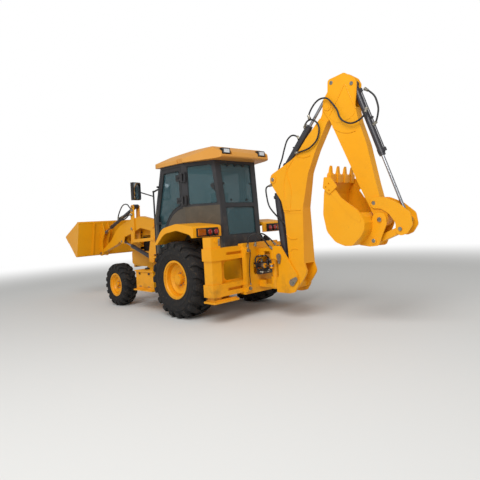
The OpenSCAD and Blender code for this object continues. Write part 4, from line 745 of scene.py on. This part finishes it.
# rubber seals round the panes of glass, flat strips with rounded edges
sealLook = {
    "wide": 0.018, "thick": 0.009, "corner": 0.045, "lift": 0.004,
    "door": (0.020, 0.012), "doorY": 0.7475,
    "arch": (0.020, 1.250), "archRadius": 0.665, "archEnds": (80.9, -10.2),   # degrees
    "turn": math.radians(25.84), "out": 0.016, "hinge": 0.750,   # the quarter panes
}


def sealRing(outline, upward, look):   # a flat rounded section carried round a closed outline
    return sweep(corners(outline, look["corner"], 5), ovalSection(look["wide"], look["thick"]), upward, True)


def rearFace(z):   # x of the cab's rear face at height z: it leans in two stages
    return np.interp(z, [1.330, 1.860, 2.640], [-0.640, -0.610, -0.540])


rearPanes = {"seal_rear_window": [(-0.350, 1.895), (0.350, 1.895), (0.372, 2.590), (-0.372, 2.590)],
             "seal_rear_panel": [(-0.338, 1.350), (0.338, 1.350), (0.345, 1.830), (-0.345, 1.830)]}
for name, pane in rearPanes.items():
    y, z = np.array(pane).T
    place = fromAxle(np.stack([rearFace(z) + sealLook["lift"], y, z], -1))
    makePiece(name, [sealRing(place, (-1, 0, 0.09), sealLook)], "rubber", "root", 50)

quarterPane = np.array([(0.075, 1.905), (0.616, 1.905), (0.541, 2.575), (0.075, 2.575)])
sine, cosine, out = math.sin(sealLook["turn"]), math.cos(sealLook["turn"]), sealLook["out"]
for side, s in sides.items():
    u, z = quarterPane.T
    x, y = -u * cosine + out * sine, sealLook["hinge"] - u * sine - out * cosine
    place = fromAxle(np.stack([x, s * y, z], -1))
    makePiece("seal_quarter_" + side, [sealRing(place, (-sine, s * cosine, 0), sealLook)], "rubber", "root", 50)
    # the door's edge, from the foot of the windscreen round the wheel arch to the hinge pillar
    arc, r = np.radians(np.linspace(*sealLook["archEnds"], 28)), sealLook["archRadius"]
    line = np.vstack([[(0.125, 2.520), (0.125, 1.907)],
                      np.stack([r * np.cos(arc), r * np.sin(arc)], -1) + sealLook["arch"],
                      [(0.835, 1.132), (0.835, 1.700), (0.590, 2.520)]])
    place = fromAxle(np.stack([line[:, 0], np.full(len(line), s * sealLook["doorY"]), line[:, 1]], -1))
    makePiece("seal_door_" + side, [sweep(place, ovalSection(*sealLook["door"]), (0, s, 0), True)], "rubber",
              "door_" + side, 50)

# lamps: frames, ribs and the coloured tail lenses
lampLook = {
    "rim": 0.006, "rimY": (0.355, 0.495), "rimZ": (2.722, 2.798), "ends": ((-0.800, -1), (0.770, 1)),
    "red": (0.660, 0.790), "amber": 0.945, "height": 1.430, "behind": -1.4,
    "ribs": (1.385, 1.475, 10), "ribY": (0.875, 1.015, 12), "rib": 0.004, "sunk": 0.002,
}
shapes = []
(y0, y1), (z0, z1) = lampLook["rimY"], lampLook["rimZ"]
for x, way in lampLook["ends"]:
    for s in (1, -1):
        ring = corners([(x, s * y0, z0), (x, s * y1, z0), (x, s * y1, z1), (x, s * y0, z1)], 0.012, 4)
        shapes.append(sweep(fromAxle(ring + [way * 0.001, 0, 0]), roundSection(lampLook["rim"], 8),
                            (1, 0, 0), True))
makePiece("work_lamp_rims", shapes, "plastic", "root")

lens = [(0, 0.016), (0.018, 0.0155), (0.034, 0.012), (0.043, 0.006), (0.046, 0), (0, 0)]
bezel = [(0.046, -0.004), (0.058, -0.004), (0.058, 0.006), (0.052, 0.010), (0.046, 0.006)]
for side, s in sides.items():
    starts = [(lampLook["behind"], s * y, lampLook["height"]) for y in (*lampLook["red"], lampLook["amber"])]
    *places, (face, y, z) = hits("lamps", starts, (1, 0, 0))
    for name, profile, finish in (("red_", lens, "red"), ("rims_", bezel, "plastic")):
        makePiece("tail_lens_" + name + side, [lathe(profile, at, (-1, 0, 0), 32) for at in places], finish,
                  "root", 40)
    across = np.linspace(*lampLook["ribY"]) * s
    ribs = [sweep(np.stack([0 * across + face - lampLook["sunk"], across, 0 * across + z], -1),
                  roundSection(lampLook["rib"], 6), (1, 0, 0)) for z in np.linspace(*lampLook["ribs"])]
    makePiece("tail_lens_amber_" + side, ribs, "amber", "root", 60)
print("seals and lamps made")

# mirror glass and door handles
mirrorLook = {"head": (0.90, 2.05, 2.44), "thick": 0.004, "share": (0.86, 0.90), "deepest": 0.09}
for side, s in sides.items():
    points = nodePoints("mirrors")
    inner, bottom, top = mirrorLook["head"]
    head = points[(points[:, 1] * s > inner) & (points[:, 2] > bottom) & (points[:, 2] < top)]
    low, high = head.min(0), head.max(0)
    deep, wide, tall = (high - low) * [1, *mirrorLook["share"]]
    deep = min(deep, mirrorLook["deepest"])
    glassPlate = roundBox((low + high) / 2 - [deep / 2 + 0.0005, 0, 0],
                          (mirrorLook["thick"], wide, tall), 0.0019)
    makePiece("mirror_glass_" + side, [glassPlate], "mirror", "root")

doorLook = {
    "x": 0.760, "z": 1.62, "plate": (0.15, 0.012, 0.05), "radius": 0.008,
    "bow": [(-0.06, 0.002), (-0.055, 0.022), (-0.03, 0.030), (0.03, 0.030), (0.055, 0.022), (0.06, 0.002)],
}
for side, s in sides.items():
    face = sideHits("door_" + side, [(doorLook["x"] + 0.02, doorLook["z"])], s)[0, 1]
    base = fromAxle([doorLook["x"], face, doorLook["z"]])
    bow = [base + [x, s * y, 0] for x, y in doorLook["bow"]]
    shapes = [tube(bow, doorLook["radius"], (0, 0, 1)),
              roundBox(base + [0, s * 0.003, 0], doorLook["plate"], 0.005)]
    makePiece("door_handle_" + side, shapes, "plastic", "door_" + side)
print("mirrors and handles made")

# carriage: clamp bolts, swing cylinders seen through the window, their block, hoses and fittings
carriageLook = {"clampY": 0.36, "clampZ": (0.491, 1.100), "bolt": 0.052, "behind": -1.5}
starts = [(carriageLook["behind"], hoeY + way * carriageLook["clampY"], z)
          for way in (1, -1) for z in carriageLook["clampZ"]]
makePiece("clamp_bolts", [spread(boltShape(carriageLook["bolt"], 0.7), hits("carriage", starts, (1, 0, 0)),
                                 (-1, 0, 0))], "steel", "carriage")

swingLook = {"y": 0.095, "z": 0.830, "front": -0.935, "rear": -1.252, "radius": 0.0395}
sleeves, glands, caps = [], [], []
for way in (1, -1):
    y, z, r, rear = hoeY + way * swingLook["y"], swingLook["z"], swingLook["radius"], swingLook["rear"]
    long = swingLook["front"] - rear
    profile = [(r - 0.004, 0), (r, 0.002), (r, long - 0.002), (r - 0.004, long), (r - 0.004, long),
               (r - 0.004, 0)]
    sleeves.append(lathe(profile, fromAxle([rear, y, z]), (1, 0, 0), 28))
    gland = [(r, 0), (r * 1.16, 0.004), (r * 1.16, 0.040), (r, 0.046), (r * 0.98, 0.046), (r * 0.98, 0)]
    glands.append(lathe(gland, fromAxle([rear + 0.004, y, z]), (1, 0, 0), 28))
    caps.append(roundBox(fromAxle([rear + 0.07, y, z + r + 0.012]), (0.045, 0.036, 0.034), 0.006))
makePiece("swing_cylinder_sleeves", sleeves, "cylinder", "carriage")
makePiece("swing_cylinder_glands", glands, "steel", "carriage")
makePiece("swing_cylinder_ports", caps, "cast", "carriage")
block = [roundBox(fromAxle([-1.165, hoeY + 0.01, 0.720]), (0.100, 0.300, 0.060), 0.008),
         roundBox(fromAxle([-1.185, hoeY + 0.01, 0.762]), (0.060, 0.200, 0.030), 0.006)]
makePiece("swing_valve_block", block, "cast", "carriage")
places = fromAxle([(-1.217, hoeY + 0.01 + y, 0.722) for y in (-0.115, -0.06, 0.0, 0.06, 0.115)])
nut = lathe([(0, 0), (0.013, 0), (0.013, 0.014), (0.009, 0.016), (0.009, 0.028), (0, 0.028)], sides=6)
makePiece("swing_valve_fittings", [spread(nut, places, (-1, 0, 0))], "steel", "carriage")
carriageHoses = {   # radius, and knots: x ahead of the rear axle, y beside the backhoe's plane, z
    "hose_swing_left": (0.0105, [(-1.182, 0.095, 0.888), (-1.20, 0.12, 0.935), (-1.19, 0.175, 0.93),
                                 (-1.165, 0.20, 0.84), (-1.18, 0.175, 0.745), (-1.235, 0.125, 0.722)]),
    "hose_swing_right": (0.0105, [(-1.182, -0.095, 0.888), (-1.20, -0.05, 0.925), (-1.215, 0.0, 0.90),
                                  (-1.25, 0.02, 0.80), (-1.255, 0.01, 0.742), (-1.24, 0.0, 0.722)]),
    "hose_valve_feed": (0.0105, [(-1.125, 0.07, 0.755), (-1.13, 0.16, 0.78), (-1.125, 0.185, 0.90),
                                 (-1.120, 0.15, 0.975), (-1.12, 0.05, 0.985)]),
    "hose_valve_return": (0.0105, [(-1.125, -0.05, 0.755), (-1.13, -0.13, 0.80), (-1.125, -0.15, 0.90),
                                   (-1.120, -0.08, 0.975), (-1.12, 0.01, 0.985)]),
    "hose_clamp_feed": (0.0065, [(-1.128, 0.296, 1.098), (-1.135, 0.302, 1.02), (-1.118, 0.312, 0.90),
                                 (-1.112, 0.318, 0.75), (-1.118, 0.320, 0.62), (-1.128, 0.321, 0.537)]),
}
for name, (radius, knots) in carriageHoses.items():
    rubber, ends = hoseShapes(fromAxle(knots) + [0, hoeY, 0], hoseLook, radius)
    makePiece(name, rubber, "hose", "carriage", 60)
    makePiece(name + "_fittings", ends, "steel", "carriage")
print("carriage dressed")

# legs: keeper and bolts near the top of each column
legLook = {"y": 0.925, "z": (1.30, 1.235), "plate": (0.006, 0.036, 0.110), "bolt": 0.022, "behind": -1.5}
for side, s in sides.items():
    starts = [(legLook["behind"], s * legLook["y"], z) for z in legLook["z"]]
    owner = "stabilizer_" + side
    found = hits(owner, starts, (1, 0, 0))
    if len(found) < len(starts):   # the column ends lower, and the frame's sleeve is met instead
        owner, found = "root", hits("rear_frame", starts, (1, 0, 0))
    plateShape = roundBox(found.mean(0) + [-0.003, 0, 0], legLook["plate"], 0.0028)
    bolts = spread(boltShape(legLook["bolt"]), found + [-0.006, 0, 0], (-1, 0, 0))
    makePiece("leg_keeper_" + side, [plateShape, bolts], "steel", owner)

# cab front corner: the bundle of hoses that feeds the loader
bundleLook = {"radius": 0.0115, "apart": 0.026, "count": 3, "knots": [   # x, y, z and the share of the spacing
    (0.985, 0.668, 1.640, 1.0), (0.992, 0.676, 1.500, 1.0), (0.985, 0.672, 1.360, 1.0),
    (1.000, 0.664, 1.220, 0.9), (1.050, 0.640, 1.100, 0.6), (1.120, 0.600, 1.040, 0.4)]}
for side, s in sides.items():
    x, y, z, share = np.array(bundleLook["knots"]).T
    shapes = [tube(fromAxle(np.stack([x + i * bundleLook["apart"] * share, s * y, z], -1)),
                   bundleLook["radius"]) for i in range(bundleLook["count"])]
    makePiece("hose_bundle_" + side, shapes, "hose", "root", 60)

# tyres: raised rings on the sidewalls
tyreLook = {"rear": (0.36, 0.44, 0.515), "front": (0.250, 0.300), "high": 0.006, "wide": 0.010}
for side, s in sides.items():
    for end in ("rear", "front"):
        hub = pins[f"{end}_wheel_{side}_spin"]
        h, w = tyreLook["high"], tyreLook["wide"]
        shapes = []
        for radius in tyreLook[end]:
            wall = sideHits(f"tyre_{end}_{side}", [(hub[0] - axleX, hub[2] + radius)], s)[0, 1]
            section = [(radius - w, -h), (radius - w * 0.5, h * 0.7), (radius, h), (radius + w * 0.5, h * 0.7),
                       (radius + w, -h), (radius - w, -h)]
            shapes.append(lathe(section, (hub[0], wall, hub[2]), (0, s, 0), 72))
        makePiece(f"sidewall_rings_{end}_{side}", shapes, "tyre", f"{end}_wheel_{side}", 50)
print("legs, hose bundles and tyres dressed")

# side boxes: a framed lid with latches, hinges, a filler cap and a ribbed tread on the step
boxLook = {"x": (0.850, 1.370), "z": (0.450, 0.720), "strip": (0.024, 0.010), "latch": (0.050, 0.018, 0.034),
           "cap": (1.24, 0.80), "tread": 0.985, "ribs": (0.86, 1.36, 11), "above": 1.6}
capProfile = [(0, 0), (0.045, 0), (0.048, 0.006), (0.048, 0.022), (0.040, 0.030), (0.012, 0.032),
              (0.010, 0.040), (0, 0.040)]
hingeProfile = [(0, 0), (0.008, 0), (0.008, 0.070), (0, 0.070)]
for side, s in sides.items():
    face = sideHits("side_boxes", [(1.10, 0.60)], s)[0, 1]
    (x0, x1), (z0, z1) = boxLook["x"], boxLook["z"]
    ring = corners([(x0, z0), (x1, z0), (x1, z1), (x0, z1)], 0.03, 5)
    path = fromAxle(np.stack([ring[:, 0], np.full(len(ring), face), ring[:, 1]], -1))
    strip = sweep(path, ovalSection(*boxLook["strip"], 8), (0, s, 0), True)
    makePiece("box_lid_frame_" + side, [strip], "paint", "root", 50)
    latches = [roundBox(fromAxle([x, face + s * 0.008, z1 - 0.025]), boxLook["latch"], 0.006)
               for x in (x0 + 0.10, x1 - 0.10)]
    hinges = [lathe(hingeProfile, fromAxle([x, face + s * 0.006, z0 + 0.004]), (1, 0, 0), 12)
              for x in (x0 + 0.08, x1 - 0.15)]
    makePiece("box_latches_" + side, latches, "plastic", "root")
    makePiece("box_hinges_" + side, hinges, "steel", "root")
    x, y = boxLook["cap"]
    top = hits("side_boxes", [(x, s * y, boxLook["above"])], (0, 0, -1))[0]
    makePiece("filler_cap_" + side, [lathe(capProfile, top, (0, 0, 1), 32)], "plastic", "root")
    starts = [(x, s * boxLook["tread"], boxLook["above"]) for x in np.linspace(*boxLook["ribs"])]
    ribs = [sweep(np.linspace(place + [0, -0.018, 0.001], place + [0, 0.018, 0.001], 4),
                  roundSection(0.0035, 6), (0, 0, 1)) for place in hits("side_boxes", starts, (0, 0, -1))]
    makePiece("step_ribs_" + side, ribs, "paint", "root", 60)

# hood: a pull at each end of its side panels
hoodLook = {"x": (1.30, 2.05), "z": 1.46, "pull": (0.110, 0.016, 0.030)}
for side, s in sides.items():
    found = sideHits("hood", [(x, hoodLook["z"]) for x in hoodLook["x"]], s)
    pulls = [roundBox(place + [0, s * 0.004, 0], hoodLook["pull"], 0.006) for place in found]
    makePiece("hood_pulls_" + side, pulls, "plastic", "root")

# steering: a tie rod behind the front wheels, and boots
tieLook = {"radius": 0.016, "back": 0.13, "reach": (0.20, 0.60)}
bootProfile = [(0.020, 0), (0.034, 0.01), (0.026, 0.02), (0.034, 0.03), (0.026, 0.04), (0.034, 0.05),
               (0.020, 0.06), (0.020, 0)]
for side, s in sides.items():
    x, z = pins["steer_" + side][[0, 2]]
    inner, outer = (np.array([x - tieLook["back"], s * y, z]) for y in tieLook["reach"])
    rod = [tube([inner, (inner + outer) / 2, outer], tieLook["radius"], (0, 0, 1), 6, 14)]
    joint = makePiece("tie_rod_" + side, rod, "cylinder", None, 50)
    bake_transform(joint)
    makePiece("tie_boot_" + side, [lathe(bootProfile, inner, (0, s, 0), 24)], "rubber", "root", 40)

# doors: hinge bolts over the moulded covers
hingeLook = {"z": (2.28, 2.36, 1.88, 1.96), "x": (0.052, -0.012), "bolt": 0.016}
for side, s in sides.items():
    found = sideHits("door_" + side, [(x, z) for z in hingeLook["z"] for x in hingeLook["x"]], s)
    makePiece("hinge_bolts_" + side, [spread(boltShape(hingeLook["bolt"], 0.4), found, (0, s, 0))], "steel",
              "door_" + side)
print("boxes, hood, steering and hinges dressed")

# seat: a sprung base and back in cloth, with sewn channels
seatLook = {
    "voxel": 0.006, "pressure": 4.0, "quality": 5, "cap": 0.022, "frames": 20, "give": 0.7,
    "corner": 0.036, "base": (0.150, 1.524), "baseSize": (0.440, 0.440, 0.090),
    "back": (-0.055, 1.868), "backSize": (0.088, 0.420, 0.520), "lean": math.atan2(0.070, 0.563),
    "channel": 0.010, "channelWide": 0.008, "baseLines": (0.03, 0.15, 0.27), "backLines": (1.72, 1.85, 1.98),
}


def vertexValues(piece, name):
    values = np.empty(len(piece.data.vertices) * 3)
    piece.data.vertices.foreach_get(name, values)
    return values.reshape(-1, 3)


def puffed(name, shape, look):   # the cloth recipe: remesh, swell under pressure, and cap how far a point moves
    piece = makePiece(name, [shape], "cloth", None, 80)
    bpy.context.view_layer.objects.active = piece
    piece.select_set(True)
    remesh = piece.modifiers.new("remesh", "REMESH")
    remesh.mode, remesh.voxel_size = "VOXEL", look["voxel"] * 1.0
    bpy.ops.object.modifier_apply(modifier="remesh")
    before = vertexValues(piece, "co")
    cloth = piece.modifiers.new("cloth", "CLOTH")
    cloth.settings.use_pressure = True
    cloth.settings.uniform_pressure_force = look["pressure"]
    cloth.settings.quality = look["quality"]
    cloth.settings.effector_weights.gravity = 0
    for step in range(1, look["frames"] + 1):
        bpy.context.scene.frame_set(step)
    bpy.ops.object.modifier_apply(modifier="cloth")
    bpy.context.scene.frame_set(1)
    move = vertexValues(piece, "co") - before
    far = np.linalg.norm(move, axis=1, keepdims=True)
    move = move * np.minimum(1, look["cap"] / np.maximum(far, 1e-9))
    piece.data.vertices.foreach_set("co", (before + move).ravel())
    piece.select_set(False)
    return piece


def channels(piece, axis, places, outward, look):
    # sewn lines: a point on the face that looks outward sinks by depth exp(-(distance / wide)^2)
    piece.data.update()
    co, normal = vertexValues(piece, "co"), vertexValues(piece, "normal")
    facing = np.clip(normal @ unit(outward), 0, 1) ** 0.5
    distance = np.min(np.abs(co[:, axis:axis + 1] - np.asarray(places)[None]), axis=1)
    sink = look["channel"] * np.exp(-(distance / look["channelWide"]) ** 2) * facing
    piece.data.vertices.foreach_set("co", (co - normal * sink[:, None]).ravel())
    piece.data.shade_smooth()
    piece.data.update()


baseAt, backAt = (fromAxle([x, 0, z]) for x, z in (seatLook["base"], seatLook["back"]))
base = puffed("seat_base_pad", roundBox(baseAt, seatLook["baseSize"], seatLook["corner"]), seatLook)
channels(base, 0, [x + axleX for x in seatLook["baseLines"]], (0, 0, 1), seatLook)
back = puffed("seat_back_pad", roundBox(backAt, seatLook["backSize"], seatLook["corner"],
                                        -seatLook["lean"], 1), seatLook)
channels(back, 2, seatLook["backLines"], (1, 0, 0.12), seatLook)
for piece in (base, back):
    smooth = piece.modifiers.new("round", "SUBSURF")
    smooth.levels = smooth.render_levels = 1
    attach(piece, "root")
    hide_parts("seat_cushions")
print("seat made")


# floor and light
stageLook = {
    "floor": "#D9D9D7", "reach": 60.0, "fade": (7.0, 16.0),   # metres; the floor turns white between the two
    "key": (-6.0, 8.0, 9.0), "aim": (0, 0, 1.2), "keySize": 7.0, "keyPower": 1000.0, "sky": 0.52,
}


def addFloor(look):
    r = look["reach"]
    data = bpy.data.meshes.new("floor")
    data.from_pydata([(-r, -r, 0), (r, -r, 0), (r, r, 0), (-r, r, 0)], [], [(0, 1, 2, 3)])
    floor = bpy.data.objects.new("floor", data)
    bpy.context.scene.collection.objects.link(floor)
    f = Finish("floor")
    x, y, z = f.axes()
    away = f.band((x * x + y * y) ** 0.5, *look["fade"])
    bright = f.add("ShaderNodeEmission", {}, {"Color": (1, 1, 1, 1), "Strength": 1.0})
    matt = f.add("ShaderNodeBsdfDiffuse", {}, {"Color": colour(look["floor"])})
    data.materials.append(f.close({0: away, 1: matt, 2: bright}, "ShaderNodeMixShader"))


def addLight(name, place, target, size, power):
    data = bpy.data.lights.new(name, "AREA")
    data.size, data.energy = size, power
    lamp = bpy.data.objects.new(name, data)
    bpy.context.scene.collection.objects.link(lamp)
    lamp.location = place
    way = np.subtract(target, place)
    lamp.rotation_euler = (math.atan2(math.hypot(way[0], way[1]), -way[2]), 0,
                           math.atan2(way[1], way[0]) - math.pi / 2)


def addSky(strength):   # white where the camera or glass looks at it, and plainer as light
    world = bpy.data.worlds.new("sky")
    bpy.context.scene.world = world
    w = NodeTree(world)
    camera = w.add("ShaderNodeLightPath", {}, {}, "Is Camera Ray")
    looked = camera.largest(camera.beside("Is Transmission Ray"))
    lit, white = (w.add("ShaderNodeBackground", {}, {"Color": (1, 1, 1, 1), "Strength": level})
                  for level in (strength, 1.0))
    either = w.add("ShaderNodeMixShader", {}, {0: looked, 1: lit, 2: white})
    w.add("ShaderNodeOutputWorld", {}, {"Surface": either})


addFloor(stageLook)
addSky(stageLook["sky"])
addLight("key", stageLook["key"], stageLook["aim"], stageLook["keySize"], stageLook["keyPower"])
print("stage set")
